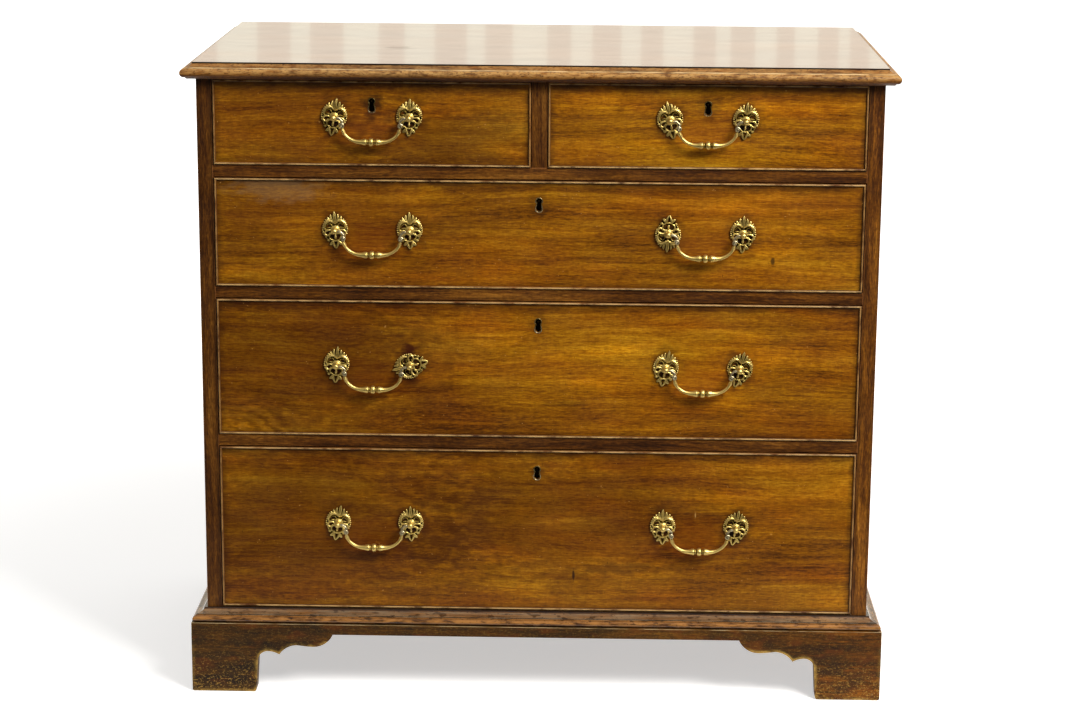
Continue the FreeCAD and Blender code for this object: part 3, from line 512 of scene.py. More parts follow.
def cup_stained(material):
    """A dark ragged stain where a wet cup stood, with the polish over it gone dull."""
    tree = material.node_tree
    away = add(tree, "ShaderNodeVectorMath", {0: place_on(tree), 1: cup_place}, out="Value", operation="DISTANCE")
    ragged = patches(tree, place_on(tree), (30, 9, 9), 0.2, 0.8, -16.0, 16.0, 3.0)
    away = add(tree, "ShaderNodeMath", {0: away, 1: ragged}, operation="ADD")
    overlay(material, add(tree, "ShaderNodeMapRange", {0: away, 1: 8, 2: 20, 3: 0.5, 4: 0.0}), "#4A2A18")
    dulled = add(tree, "ShaderNodeMapRange", {0: away, 1: 8, 2: 20, 3: 0.62, 4: 1.0})
    tree.links.new(dulled, tree.nodes["Surface"].inputs["Coat Weight"])


# French polish is a clear hard coat: it mirrors the windows, and the grain lies dim and flat beneath it.
top_tones = ("#633016", "#7C4322", "#90552C", "#A66C3C")
top_mahogany = board_wood("mahogany_top_french_polished", "X", top_tones, 20, 0.06, 0.2, coat=1.0, relief=0.015)
cup_stained(top_mahogany)

# The edge has only wax: no mirror, but a warm soft shine, with pits full of dirt, and pale rubbed places and a pale
# fillet line that are partly painted highlight.
edge_tones = ("#371C09", "#5E3613", "#85511E", "#A6702E")
edge_mahogany = board_wood("mahogany_moulded_edge_waxed", "X", edge_tones, 6, 0.1, 0.3, (0, 120, 0))
rubbed(edge_mahogany, "#BE9052", (16, 16, 4), 0.9)
mottled(edge_mahogany, (3.4, 3.4, 1.4), 0.56, 0.66, 0.8, "#4A260C", detail=2.0)
worn_and_highlit_line(edge_mahogany, "#E2C898")

# The small step under the flat field has filled with wax and dirt, and is painted nearly black with its shade as
# well: it draws a dark line round the top.
quirk_tones = ("#0C0603", "#140A05", "#1C0F07", "#2A170B")
quirk_wax_and_shade = board_wood("mahogany_quirk_wax_dirt_and_painted_shade", "X", quirk_tones, 6, 0.1, 0.5)


def underside(bm):
    """The faces of the top's flat underside."""
    return [f for f in bm.faces if all(abs(v.co.z - top_low.z) < 0.001 * mm for v in f.verts)]


def chop_mortices(bm):
    """Two slots in the underside of the top, for the bolts of the short drawers' locks."""
    bolts = [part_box(drawer + "_lock_bolt") for drawer in ("short_left_drawer", "short_right_drawer")]
    cuts = [(0, x) for low, high in bolts for x in (low.x - mortice_side_gap, high.x + mortice_side_gap)]
    cuts += [(1, bolts[0][0].y - mortice_side_gap), (1, bolts[0][1].y + mortice_side_gap)]
    for axis, line in cuts:
        across = Vector((1, 0, 0)) if axis == 0 else Vector((0, 1, 0))
        under = underside(bm)
        around = list({e for f in under for e in f.edges}) + list({v for f in under for v in f.verts})
        bmesh.ops.bisect_plane(bm, geom=under + around, plane_co=across * line, plane_no=across, dist=0.001 * mm)
    depth = bolts[0][1].z + bolt_throw + mortice_end_gap - top_low.z
    for face in underside(bm):
        middle = face.calc_center_median()
        if any(low.x < middle.x < high.x and low.y < middle.y < high.y for low, high in bolts):
            mouth = list(face.verts)
            end = [bm.verts.new(v.co + Vector((0, 0, depth))) for v in mouth]
            for i in range(4):
                bm.faces.new((mouth[i], mouth[(i + 1) % 4], end[(i + 1) % 4], end[i])).material_index = 1
            bm.faces.new(end).material_index = 1
            bm.faces.remove(face)


def top_board():
    """The moulded edge along three sides and the flat field inside it, as one board."""
    bm = bmesh.new()
    layer = bm.verts.layers.float.new("worn")
    rows = []
    for side_x, inward_x, at_front in ((top_low.x, 1, False), (top_low.x, 1, True),
                                       (top_high.x, -1, True), (top_high.x, -1, False)):
        row = []
        for (inset, z), worn in zip(top_edge, edge_wear_and_highlight):
            y = top_low.y + inset if at_front else top_high.y
            vert = bm.verts.new((side_x + inward_x * inset, y, z))
            vert[layer] = worn
            row.append(vert)
        rows.append(row)
    for row, following in zip(rows, rows[1:]):
        for i in range(len(top_edge) - 1):
            bm.faces.new((row[i], row[i + 1], following[i + 1], following[i])).material_index = 1 if i else 2
    bm.faces.new([row[0] for row in rows]).material_index = 0
    bm.faces.new([row[-1] for row in reversed(rows)]).material_index = 0
    bm.faces.new(rows[0][::-1] + rows[-1]).material_index = 1
    chop_mortices(bm)
    bmesh.ops.recalc_face_normals(bm, faces=bm.faces)
    return bm


finished("top_board_moulded", [(top_board(), None)], "case",
         [top_mahogany, edge_mahogany, quirk_wax_and_shade], ["top_board"])


# ------------------------------------------------------------------ base moulding
# A run of moulding round the foot of the case, mitred at the front corners and planted on: a round
# torus below, a fillet and a hollow above. Waxed mahogany, redder than the top, shiny where rubbed.
moulding_height = 18.0 * mm
torus_height = 9.4 * mm
torus_fillet = 1.0 * mm
quirk_width = 1.3 * mm
cove_land = 2.0 * mm
cove_projection = 4.0 * mm
torus_steps = 14
cove_steps = 8
moulding_low, moulding_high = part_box("side_base_mouldings")
case_low, case_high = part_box("left_side_panel")
moulding_projection = case_low.x - moulding_low.x
torus_centre = moulding_projection - torus_height / 2
cove_foot = torus_centre - quirk_width
quirk_floor = torus_height + torus_fillet
cove_low = quirk_floor + torus_fillet
cove_high = moulding_height - cove_land
cove_middle = (cove_projection + (cove_foot - cove_projection) * 0.4, cove_low + (cove_high - cove_low) * 0.3)
torus = arc((torus_centre, 0), (moulding_projection, torus_height / 2), (torus_centre, torus_height), torus_steps)
cove = arc((cove_foot, cove_low), cove_middle, (cove_projection, cove_high), cove_steps)
run = [(0, 0)] + torus + [(torus_centre, quirk_floor), (cove_foot, quirk_floor)] + cove
run += [(cove_projection, moulding_height), (0, moulding_height)]
# How worn it is at each point, which also paints the highlights: the round most at its front, the fillets through
# to the wood.
run_wear_and_highlight = [0] + [0.9 * math.sin(math.pi * i / torus_steps) for i in range(torus_steps)] + [0.6, 1.0, 0.0, 1.0]
run_wear_and_highlight += [0.15] * cove_steps + [0.9, 0]
corner_x = -case_low.x
corner_y = -case_low.y


def aged_moulding(material):
    """The round rubbed by brooms and painted lighter as a highlight, painted shade across the lower half of the
    round, darker along the top under the case, painted shade and dirt in the quirk, a pale grey painted sheen in
    the hollow, and knocks all along."""
    rubbed(material, "#B87C3A", (22, 22, 4), 0.9)
    tree = material.node_tree
    up = add(tree, "ShaderNodeSeparateXYZ", {0: place_on(tree)}, out=2)
    foot, head = moulding_low.z / mm, moulding_high.z / mm
    # Painted shade across the lower half of the round, so that it looks round, and darker along the top, under the
    # case.
    for start, end in ((foot + 0.8, foot + 5.6), (head - 0.8, head - 2.6)):
        dirt = add(tree, "ShaderNodeMapRange", {0: up, 1: start, 2: end, 3: 0.9, 4: 0.0})
        overlay(material, dirt, "#140A05")
    # Painted shade and dirt in the quirk over the round.
    quirk = (moulding_low.z + quirk_floor) / mm + 0.35
    quirk_shade_and_dirt = add(tree, "ShaderNodeMath", {0: up, 1: quirk, 2: 0.45}, operation="COMPARE")
    overlay(material, quirk_shade_and_dirt, "#1C0F06")
    # Painted sheen: a pale grey film along the hollow, which faces the light overhead.
    hollow_middle = (moulding_low + moulding_high).z / 2 / mm + 4.0
    hollow_sheen = add(tree, "ShaderNodeMath", {0: up, 1: hollow_middle, 2: 2.4}, operation="COMPARE")
    film = patches(tree, place_on(tree), (50, 50, 5), 0.3, 0.7, 0.05, 0.4, 3.0)
    overlay(material, hollow_sheen, "#968468", within=film)
    for size, low in (((5, 5, 2), 0.62), ((16, 16, 4), 0.58)):
        mottled(material, size, low, low + 0.07, 0.7, "#2A1406")
    worn_and_highlit_line(material, "#E6D2AC")


# Wax rubbed up by dusters makes a thin coat, which draws one long light line along the round.
base_tones = ("#241205", "#48270D", "#6A411A", "#8E602C")
base_mahogany = board_wood("mahogany_base_moulding_waxed", "X", base_tones, 6, 0.1, 0.26, (0, 200, 0), 0.6)
side_base_mahogany = board_wood("mahogany_side_moulding_waxed", "Y", base_tones, 6, 0.1, 0.26, (0, 210, 0), 0.6)
for wood in (base_mahogany, side_base_mahogany):
    aged_moulding(wood)


def moulding_station(side, out, up, y):
    """A point of the run's section at one side of the case, so far out from the case and up from its foot."""
    return side * (corner_x + out), y, moulding_low.z + up


front_run = bmesh.new()
skin(front_run, [[moulding_station(side, d, h, -corner_y - d) for d, h in run] for side in (-1, 1)], run_wear_and_highlight)
finished("front_base_moulding_run", [(front_run, 0)], "case", [base_mahogany],
         ["front_base_moulding"])
side_runs = bmesh.new()
for side in (-1, 1):
    skin(side_runs, [[moulding_station(side, d, h, -corner_y - d) for d, h in run],
                     [moulding_station(side, d, h, moulding_high.y) for d, h in run]], run_wear_and_highlight)
finished("side_base_moulding_runs", [(side_runs, 0)], "case", [side_base_mahogany],
         ["side_base_mouldings"])


# ------------------------------------------------------------------ base frame and bracket feet
# The case stands on a flat mitred frame, and that on four bracket feet: two sawn facings each, backed by
# a glue block. Dark mahogany, scuffed and chipped pale near the floor by shoes and mops.
foot_low, foot_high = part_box("front_left_foot")
frame_arris = 0.6 * mm
foot_arris = 1.0 * mm
sole_arris = 3.0 * mm          # worn rounder on the floor
joint_band = 10                # millimetres under the joint with the frame, where the wood stays dark
bare_reach = 9.0 * mm          # how far the wear comes in from an arris


def near_arris(tree, reach):
    """1 at the arrises of a board, falling to 0 within the reach."""
    flat = add(tree, "ShaderNodeNewGeometry", out="Normal")
    round_over = add(tree, "ShaderNodeBevel", {"Radius": reach}, samples=8)
    alike = add(tree, "ShaderNodeVectorMath", {0: flat, 1: round_over}, out="Value", operation="DOT_PRODUCT")
    return add(tree, "ShaderNodeMapRange", {0: alike, 1: 0.998, 2: 0.92, 3: 0.0, 4: 1.0})


def scuffed(material):
    """The right side painted lighter, as the light falls more strongly there, dark clouds of old dirt and red ones
    of old stain, arrises worn to bare yellow wood, and nicks through the polish, thickest near the floor."""
    tree = material.node_tree
    place = place_on(tree)
    axes = add(tree, "ShaderNodeSeparateXYZ", {0: place}).node.outputs
    # Painted light: lighter towards the right side, where the lamp falls more strongly.
    lit_side = add(tree, "ShaderNodeMapRange", {0: axes[0], 1: 100.0, 2: 450.0, 3: 0.0, 4: 0.95})
    overlay(material, lit_side, "#D2C400", "DODGE")
    overlay(material, patches(tree, place, (38, 38, 20), 0.44, 0.66, 0.0, 0.5, 3.0), "#181206")
    overlay(material, patches(tree, place, (30, 30, 14), 0.5, 0.7, 0.0, 0.35, 3.0), "#6A320A")
    aside = add(tree, "ShaderNodeMath", {0: axes[0]}, operation="ABSOLUTE")
    outer = -foot_low.x / mm
    inner = add(tree, "ShaderNodeMapRange", {0: aside, 1: outer - 22, 2: outer - 10, 3: 1.0, 4: 0.25})
    below = foot_high.z / mm - joint_band
    below_joint = add(tree, "ShaderNodeMath", {0: axes[2], 1: below}, operation="LESS_THAN")
    inner = add(tree, "ShaderNodeMath", {0: inner, 1: below_joint}, operation="MULTIPLY")
    bare = patches(tree, place, (26, 26, 20), 0.36, 0.6, 0.0, 1.0, 3.0)
    bare = add(tree, "ShaderNodeMath", {0: bare, 1: near_arris(tree, bare_reach)}, operation="MULTIPLY")
    overlay(material, bare, "#B08C44", within=inner)
    low_down = add(tree, "ShaderNodeMapRange", {0: axes[2], 1: 12.0, 2: 62.0, 3: 1.0, 4: 0.2})
    for size, low, most, tone in (((3.2, 3.2, 2.2), 0.56, 0.6, "#120A02"), ((4.6, 4.6, 2.2), 0.57, 0.85, "#A07A34"),
                                  ((2.0, 2.0, 3.4), 0.6, 0.8, "#96702C"), ((1.4, 1.4, 12.0), 0.7, 0.9, "#C0A468")):
        nicks = patches(tree, place, size, low, low + 0.08, 0.0, most, 2.0, 0.6)
        overlay(material, nicks, tone, within=low_down)


# The wax has gone from the base: the dark stain is dull, and only scratches and arrises are light, the arrises
# partly with a painted highlight line.
foot_tones = ("#180C01", "#321D03", "#4E2F07", "#704810")
frame_across = board_wood("mahogany_base_scuffed_across", "X", foot_tones, 9, 0.1, 0.5, (0, 0, 240), shine=0.22)
frame_deep = board_wood("mahogany_base_scuffed_deep", "Y", foot_tones, 9, 0.1, 0.5, (0, 0, 250), shine=0.22)
for wood in (frame_across, frame_deep):
    scuffed(wood)
    worn_and_highlit_line(wood, "#B49E74")


def runs_across(centre):
    """Number of the material: 0 where the board runs from side to side, 1 where it runs front to back."""
    near_side = corner_x - abs(centre.x)
    near_front = centre.y + corner_y
    near_back = case_high.y - centre.y
    return 0 if min(near_front, near_back) < near_side else 1


eased("base_frame", frame_arris, [frame_across, frame_deep], runs_across, joint=foot_high.z)
for foot in ("front_left_foot", "front_right_foot", "rear_left_foot", "rear_right_foot"):
    eased(foot, foot_arris, [frame_across, frame_deep], runs_across, joint=foot_high.z,
          sole=sole_arris)


# ------------------------------------------------------------------ drawer fronts
# Each front is one board of mahogany with its grain level, chosen for its golden streaks. Planed, oiled and waxed;
# wax and dirt have gathered dark along the beads, deepened with painted shade, and hands have reddened it by the
# handles.
drawer_names = ("short_left_drawer", "short_right_drawer", "second_drawer", "third_drawer", "fourth_drawer")
front_tones = ("#472402", "#784504", "#976007", "#B67E16")
front_arris = 0.25 * mm
handle_pivot_reach = 12.5 * mm  # from the face to the axis of a bail's pins
handle_spacing = 101.6 * mm
keyhole_drop = 32.5 * mm       # from the top of the front to the middle of the keyhole
flame_size = (115, 50)         # millimetres to the side and up
case_front = case_low.y


def bails_of(drawer):
    """The bails of one drawer, from left to right, each with the middle of its pivot axis."""
    bails = sorted(n for n in frame["nodes"] if n.startswith(drawer) and n.endswith("bail"))
    return [(bail, next(j["pos_m"] for j in frame["joints"] if j["child"] == bail)) for bail in bails]


def posts_of(drawer):
    """Places on the face of a drawer of its handle posts, and the way from each to its bail's middle."""
    places = []
    for bail, pivot in bails_of(drawer):
        low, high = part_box(bail)
        middle = (low.x + high.x) / 2
        for side in (-1, 1):
            places.append((Vector((middle + side * handle_spacing / 2, case_front, pivot[2])), -side))
    return places


def away_from(tree, centre, reach):
    """How far a place on the face is from a centre: 1 at so many millimetres to the side or up."""
    away = add(tree, "ShaderNodeVectorMath", {0: add(tree, "ShaderNodeTexCoord", out="Object"), 1: centre},
               operation="SUBTRACT")
    away = add(tree, "ShaderNodeVectorMath", {0: away, 1: (1 / (reach[0] * mm), 0, 1 / (reach[1] * mm))},
               operation="MULTIPLY")
    return add(tree, "ShaderNodeVectorMath", {0: away}, out="Value", operation="LENGTH")


def mark_near(material, centre, reach, strength, tone, blend="MIX"):
    """A soft-edged mark about a place on the face, for stains and for painted light and shade, reaching so many
    millimetres to the side and up.
    """
    tree = material.node_tree
    away = away_from(tree, centre, reach)
    ragged = patches(tree, place_on(tree), (18, 18, 9), 0.3, 0.7, -0.25, 0.25, 3.0)
    away = add(tree, "ShaderNodeMath", {0: away, 1: ragged}, operation="ADD")
    stain = add(tree, "ShaderNodeMapRange", {0: away, 1: 0.35, 2: 1.15, 3: strength, 4: 0.0},
                interpolation_type="SMOOTHSTEP")
    overlay(material, stain, tone, blend)


def flamed(material, corner):
    """A flame of nested arcs about a corner of the board, where the saw ran out of the growth rings."""
    tree = material.node_tree
    away = away_from(tree, corner, flame_size)
    uneven = patches(tree, place_on(tree), (60, 60, 14), 0.2, 0.8, -0.1, 0.1, 3.0)
    away = add(tree, "ShaderNodeMath", {0: away, 1: uneven}, operation="ADD")
    ring = add(tree, "ShaderNodeMath", {0: away, 1: 30.0}, operation="MULTIPLY")
    ring = add(tree, "ShaderNodeMath", {0: ring}, operation="SINE")
    flame = add(tree, "ShaderNodeMapRange", {0: away, 1: 0.75, 2: 1.15, 3: 1.0, 4: 0.0})
    for start, tone in ((-0.2, "#A8701A"), (0.2, "#3E1C02")):
        lines = add(tree, "ShaderNodeMapRange", {0: ring, 1: start, 2: start * 5, 3: 0.0, 4: 0.4})
        overlay(material, lines, tone, within=flame)


def front_board(drawer, number):
    """The finish of one drawer front, with its dark border, partly painted shade, the stains and painted shade
    round its fittings, and on some fronts painted light.
    """
    material = board_wood("mahogany_" + drawer, "X", front_tones, 13, 0.08, 0.36, (310 * number, 70 * number, 0))
    tree = material.node_tree
    low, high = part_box(drawer + "_front")
    place = place_on(tree)
    axes = add(tree, "ShaderNodeSeparateXYZ", {0: place}).node.outputs
    # Wax and dirt along the four beads, and painted shade from the beads and the rail over them, so darkest and
    # widest along the top. The darkness grows from nothing, which is noise past its top.
    border = patches(tree, place, (300, 30, 300), 2.0, 3.0)
    for axis, side, way, strength, reach in ((0, low.x, 1, 0.6, 13), (0, high.x, -1, 0.7, 13),
                                             (2, low.z, 1, 0.4, 13), (2, high.z, -1, 0.8, 20)):
        gap = add(tree, "ShaderNodeMath", {0: axes[axis], 1: way, 2: -way * side / mm}, operation="MULTIPLY_ADD")
        dirt = add(tree, "ShaderNodeMapRange", {0: gap, 1: 3.4, 2: reach, 3: strength, 4: 0.0},
                   interpolation_type="SMOOTHSTEP")
        border = add(tree, "ShaderNodeMath", {0: border, 1: dirt}, operation="MAXIMUM")
    for size, start, most, tone, blend in (((190, 190, 60), 0.42, 0.36, "#F0C08C", "MULTIPLY"),
                                           ((120, 120, 34), 0.46, 0.65, "#AAA070", "DODGE")):
        overlay(material, patches(tree, place, size, start, start + 0.24, 0.0, most), tone, blend)
    clouds = patches(tree, place, (34, 34, 12), 0.25, 0.7, 0.3, 1.0, 3.0)
    overlay(material, border, "#221004", within=clouds)
    # Redder where hands reach for the bail; dark round each rose with polish and painted shade, and darkest just
    # under it, painted shade so that its piercings look dark.
    for post, inward in posts_of(drawer):
        if inward > 0:
            grip = post + Vector((inward * handle_spacing / 2, 0, -18 * mm))
            mark_near(material, grip, (64, 36), 0.22, "#7A3008")
        mark_near(material, post, (26, 34), 0.5, "#2C1206")
        mark_near(material, post, (15, 22), 0.9, "#120803")
    if drawer == "third_drawer":
        flamed(material, low)
    # Painted light: lighter towards the right, where the lamp falls more strongly.
    for x, z, reach, strength in lit_places.get(drawer, ()):
        mark_near(material, Vector((x * mm, case_front, z * mm)), reach, strength, "#96A674", "DODGE")
    # Dirt round the keyhole, thickest on the short left drawer.
    keyhole = Vector(((low.x + high.x) / 2, case_front, high.z - keyhole_drop))
    mark_near(material, keyhole, (17, 21), 0.75 if number == 1 else 0.35, "#1E0E06")
    for x, z, reach, strength, tone in old_marks.get(drawer, ()):
        mark_near(material, Vector((x * mm, case_front, z * mm)), reach, strength, tone)
    # A few upright cracks in the polish and some small knocks.
    overlay(material, patches(tree, place, (1.7, 14, 13), 0.75, 0.78, 0.0, 0.8, 1.0), "#241006")
    overlay(material, patches(tree, place, (4, 4, 3), 0.77, 0.8, 0.0, 0.6, 1.0), "#C08A44")
    return material


# Painted light on the fronts, lighter towards the right where the lamp falls more strongly, and the marks on them:
# a pale painted reflection on the second drawer, the shadow of a rose that has since turned, darker fields and a
# few knocks. Each has its place to the side and up and its reach, in millimetres, and its strength.
lit_places = {"short_right_drawer": [(240, 785, (260, 100), 0.75)],
                "second_drawer": [(330, 640, (230, 60), 0.36)],
                "third_drawer": [(180, 470, (330, 70), 0.62)]}
old_marks = {"short_left_drawer": [(-120, 785, (150, 60), 0.45, "#3A1A02"),
                                   (-330, 800, (150, 80), 0.25, "#3A1A06")],
             # The first mark on the second drawer is a painted reflection of a light, pale and hazy.
             "second_drawer": [(-355, 716, (70, 20), 0.2, "#B49A72"), (318.5, 624, (3, 6), 0.8, "#2A1A08"),
                               (-300, 690, (260, 90), 0.25, "#3C1600")],
             "third_drawer": [(-178, 497, (15, 8), 0.85, "#3A0E06"), (-330, 480, (260, 130), 0.5, "#3C1400"),
                              (40, 420, (34, 7), 0.35, "#2E1608")],
             "fourth_drawer": [(-330, 240, (300, 150), 0.5, "#3C1600"), (40, 250, (240, 120), 0.4, "#3C1600"),
                               (52, 171, (1.8, 11), 0.9, "#241006"), (120, 183, (90, 9), 0.4, "#3A1C06"),
                               (221, 262, (1.2, 5), 0.7, "#C59A55")]}
for number, drawer in enumerate(drawer_names):
    eased(drawer + "_front", front_arris, [front_board(drawer, number + 1)], body=drawer)


# ------------------------------------------------------------------ cock beads
# Four thin strips with rounded noses are let into the edges of each drawer front and mitred, standing a little
# proud of it. Their noses are rubbed to a pale tan line, which is also a painted highlight.
bead_width = 3.2 * mm
bead_depth = 8.0 * mm
bead_proud = 2.5 * mm
bead_steps = 10
bead_nose = arc((0, -bead_proud + bead_width / 2), (bead_width / 2, -bead_proud),
                (bead_width, -bead_proud + bead_width / 2), bead_steps)
bead_section = [(0, bead_depth)] + bead_nose + [(bead_width, bead_depth)]
bead_wear_and_highlight = [0] + [math.sin(math.pi * i / bead_steps) ** 4 for i in range(bead_steps + 1)] + [0]

# Waxed mahogany again, dark at the sides of the nose and worn to a tan line along its top, partly a painted
# highlight, paler on the level beads than on the upright ones.
bead_tones = ("#260F04", "#45220A", "#643A14", "#825224")
bead_level = board_wood("mahogany_bead_level", "X", bead_tones, 5, 0.1, 0.34)
bead_upright = board_wood("mahogany_bead_upright", "Z", bead_tones, 5, 0.1, 0.34)
rubbed(bead_level, "#D2AA6C", (26, 6, 26), 0.95)
rubbed(bead_upright, "#B0854C", (26, 6, 26), 0.85)


def cock_beads(drawer):
    """The four beads of one drawer, mitred at its corners."""
    low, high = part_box(drawer + "_front")
    corners = [(low.x, low.z, 1, 1), (high.x, low.z, -1, 1), (high.x, high.z, -1, -1), (low.x, high.z, 1, -1)]
    strips = []
    for i, corner in enumerate(corners):
        ends = (corner, corners[(i + 1) % 4])
        strip = bmesh.new()
        skin(strip, [[(x + inward * across, case_front + y, z + rise * across) for across, y in bead_section]
                     for x, z, inward, rise in ends], bead_wear_and_highlight)
        strips.append((strip, i % 2))
    finished(drawer + "_beading", strips, drawer, [bead_level, bead_upright],
             [drawer + "_cock_beads"])


for drawer in drawer_names:
    cock_beads(drawer)


# ------------------------------------------------------------------ drawer boxes
# Thin oak sides and back, dovetailed together and into the front, and an oak bottom in grooves. Left
# bare, so they are dry and grey-brown, with the joints showing as fine lines.
box_arris = 0.3 * mm
for drawer in drawer_names:
    box_low, box_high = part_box(drawer + "_box")
    box_middle = (box_low.x + box_high.x) / 2
    quarter = (box_high.x - box_low.x) / 4
    eased(drawer + "_box", box_arris, [oak_deep, oak_across],
          lambda centre: 0 if abs(centre.x - box_middle) > quarter else 1, body=drawer)
    eased(drawer + "_bottom", box_arris, [oak_across], body=drawer)


# ------------------------------------------------------------------ locks and keyholes
# A brass lock let into the back of each front, its iron bolt, and a thin brass thread lining the keyhole.
# Sheet and cast brass, filed bright once, now dull; the wrought bolt has gone brown.
keyhole_height = 21.4 * mm
keyhole_head = 5.3 * mm        # radius of its round head
keyhole_foot = 5.5 * mm        # radius of its round foot
keyhole_waist = 4.0 * mm       # half its width between them
thread_wall = 1.4 * mm
thread_depth = 4.0 * mm
thread_proud = 0.4 * mm
lock_arris = 0.3 * mm
ray_count = 28                 # looked along from each point of a casting, to see how open it lies


def metal(name, dark, middle, bright, roughness, size):
    """Old metal, dark in its hollows and rubbed bright where the attribute open is high, with blotches about
    size millimetres wide."""
    material = empty_material(name)
    tree = material.node_tree
    place = place_on(tree)
    blotch = patches(tree, place, (size, size, size), 0.25, 0.75, detail=3.0, rough=0.6)
    level = add(tree, "ShaderNodeAttribute", out="Fac", attribute_name="open")
    level = add(tree, "ShaderNodeMath", {0: blotch, 1: 0.3, 2: level}, operation="MULTIPLY_ADD")
    # One handle is dirtier than the next, over some 90 mm.
    broad = patches(tree, place, (90, 90, 70), 0.35, 0.65, -0.12, 0.12)
    level = add(tree, "ShaderNodeMath", {0: broad, 1: level}, operation="ADD")
    level = add(tree, "ShaderNodeMapRange", {0: level, 1: 0.22, 2: 0.95, 3: 0.0, 4: 1.0})
    surface = add(tree, "ShaderNodeValToRGB", {"Fac": level},
                  stops=[(0.0, colour(dark)), (0.55, colour(middle)), (1.0, colour(bright))])
    sheen = add(tree, "ShaderNodeMapRange", {0: level, 1: 0.0, 2: 1.0, 3: roughness + 0.25, 4: roughness})
    bump = add(tree, "ShaderNodeBump", {"Strength": 0.25, "Distance": 0.1 * mm, "Height": blotch})
    shader = add(tree, "ShaderNodeBsdfPrincipled",
                 {"Base Color": surface, "Roughness": sheen, "Normal": bump, "Metallic": 1.0}, name="Surface")
    add(tree, "ShaderNodeOutputMaterial", {0: shader})
    return material


def openness(mesh, reach, low=None, high=None):
    """Marks each point of a casting with how open the space before it is and, from low to high, how far it
    stands out: dirt stays in the hollows and hands rub the high parts."""
    shape = bmesh.new()
    shape.from_mesh(mesh)
    tree = BVHTree.FromBMesh(shape)
    rays = []
    for i in range(ray_count):
        z = 1 - (i + 0.5) / ray_count
        a = i * math.pi * (3 - math.sqrt(5))
        rays.append(Vector((math.sqrt(1 - z * z) * math.cos(a), math.sqrt(1 - z * z) * math.sin(a), z)))
    values = []
    for vert in shape.verts:
        turn = Vector((0, 0, 1)).rotation_difference(vert.normal)
        start = vert.co + vert.normal * reach * 0.02
        free = sum(1 for ray in rays if tree.ray_cast(start, turn @ ray, reach)[0] is None) / len(rays)
        lift = 1.0 if low is None else min(1, max(0, (vert.co.z - low) / (high - low)))
        values.append(free ** 1.6 * (0.25 + 0.75 * lift))
    shape.free()
    mesh.attributes.new("open", "FLOAT", "POINT").data.foreach_set("value", values)


# Filed sheet brass under a dull skin; the thread polished by keys and sleeves; iron brown with handling.
lock_brass = metal("brass_sheet_dulled", "#2E2410", "#6E5A2C", "#A58C4A", 0.4, 3)
thread_brass = metal("brass_thread_worn", "#2C2412", "#7A673C", "#C8B48A", 0.3, 2)
lock_iron = metal("iron_wrought_brown", "#1C1512", "#3A2E27", "#5C4C40", 0.5, 2)


def keyhole_outline(shrink):
    """Round head, narrow waist and flared round foot; shrink is taken off all round."""
    head = keyhole_head - shrink
    foot = keyhole_foot - shrink
    head_z = keyhole_height / 2 - keyhole_head
    foot_z = keyhole_foot - keyhole_height / 2
    turns = [math.radians(-45 + 270 * i / 16) for i in range(17)]
    outline = [(head * math.cos(a), head_z + head * math.sin(a)) for a in turns]
    waist = keyhole_waist - shrink
    waist_z = outline[0][1] + waist - outline[0][0]
    turns = [math.radians(180 + 180 * i / 12) for i in range(13)]
    outline += [(-waist, waist_z)] + [(foot * math.cos(a), foot_z + foot * math.sin(a)) for a in turns]
    return outline + [(waist, waist_z)]


def brass_thread():
    """The lining of a keyhole about its own middle, its lip rounded over."""
    bm = bmesh.new()
    outer, inner = keyhole_outline(0), keyhole_outline(thread_wall)
    lip = 0.3 * thread_wall
    rings = [(0.0, thread_depth), (0.0, lip - thread_proud), (lip / thread_wall, -thread_proud),
             (1 - lip / thread_wall, -thread_proud), (1.0, lip - thread_proud), (1.0, thread_depth)]
    skin(bm, [[(a[0] + (b[0] - a[0]) * share, case_front + y, a[1] + (b[1] - a[1]) * share)
               for share, y in rings] for a, b in zip(outer, inner)], closed=True)
    mesh = as_mesh("brass_thread", bm)
    openness(mesh, 6 * mm)
    # Painted light: the foot of the lining, which faces up, is painted brighter and its head duller, as light from
    # above falls on them.
    for vert, mark in zip(mesh.vertices, mesh.attributes["open"].data):
        mark.value *= 0.5 + 0.5 * min(1.0, max(0.0, (1 * mm - vert.co.z) / (9 * mm)))
    return mesh


def moved(mesh, move):
    """A casting set where it belongs, as a bmesh."""
    bm = bmesh.new()
    bm.from_mesh(mesh)
    bmesh.ops.transform(bm, matrix=move, verts=bm.verts)
    return bm


thread_mesh = brass_thread()
for drawer in drawer_names:
    bolt_low, bolt_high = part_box(drawer + "_lock_bolt")
    lock_case, cad_thread = solids_of(drawer + "_lock")
    heights = [v.co.z for v in cad_thread.verts]
    cad_thread.free()
    ease_edges(lock_case, lock_arris)
    keyhole = Vector(((bolt_low.x + bolt_high.x) / 2, 0, (min(heights) + max(heights)) / 2))
    finished(drawer + "_lock_and_thread", [(lock_case, 0), (moved(thread_mesh, Matrix.Translation(keyhole)), 1)],
             drawer, [lock_brass, thread_brass], [drawer + "_lock"])
    bolt = frame["nodes"][drawer + "_lock_bolt"].data
    bolt.materials.clear()
    bolt.materials.append(lock_iron)


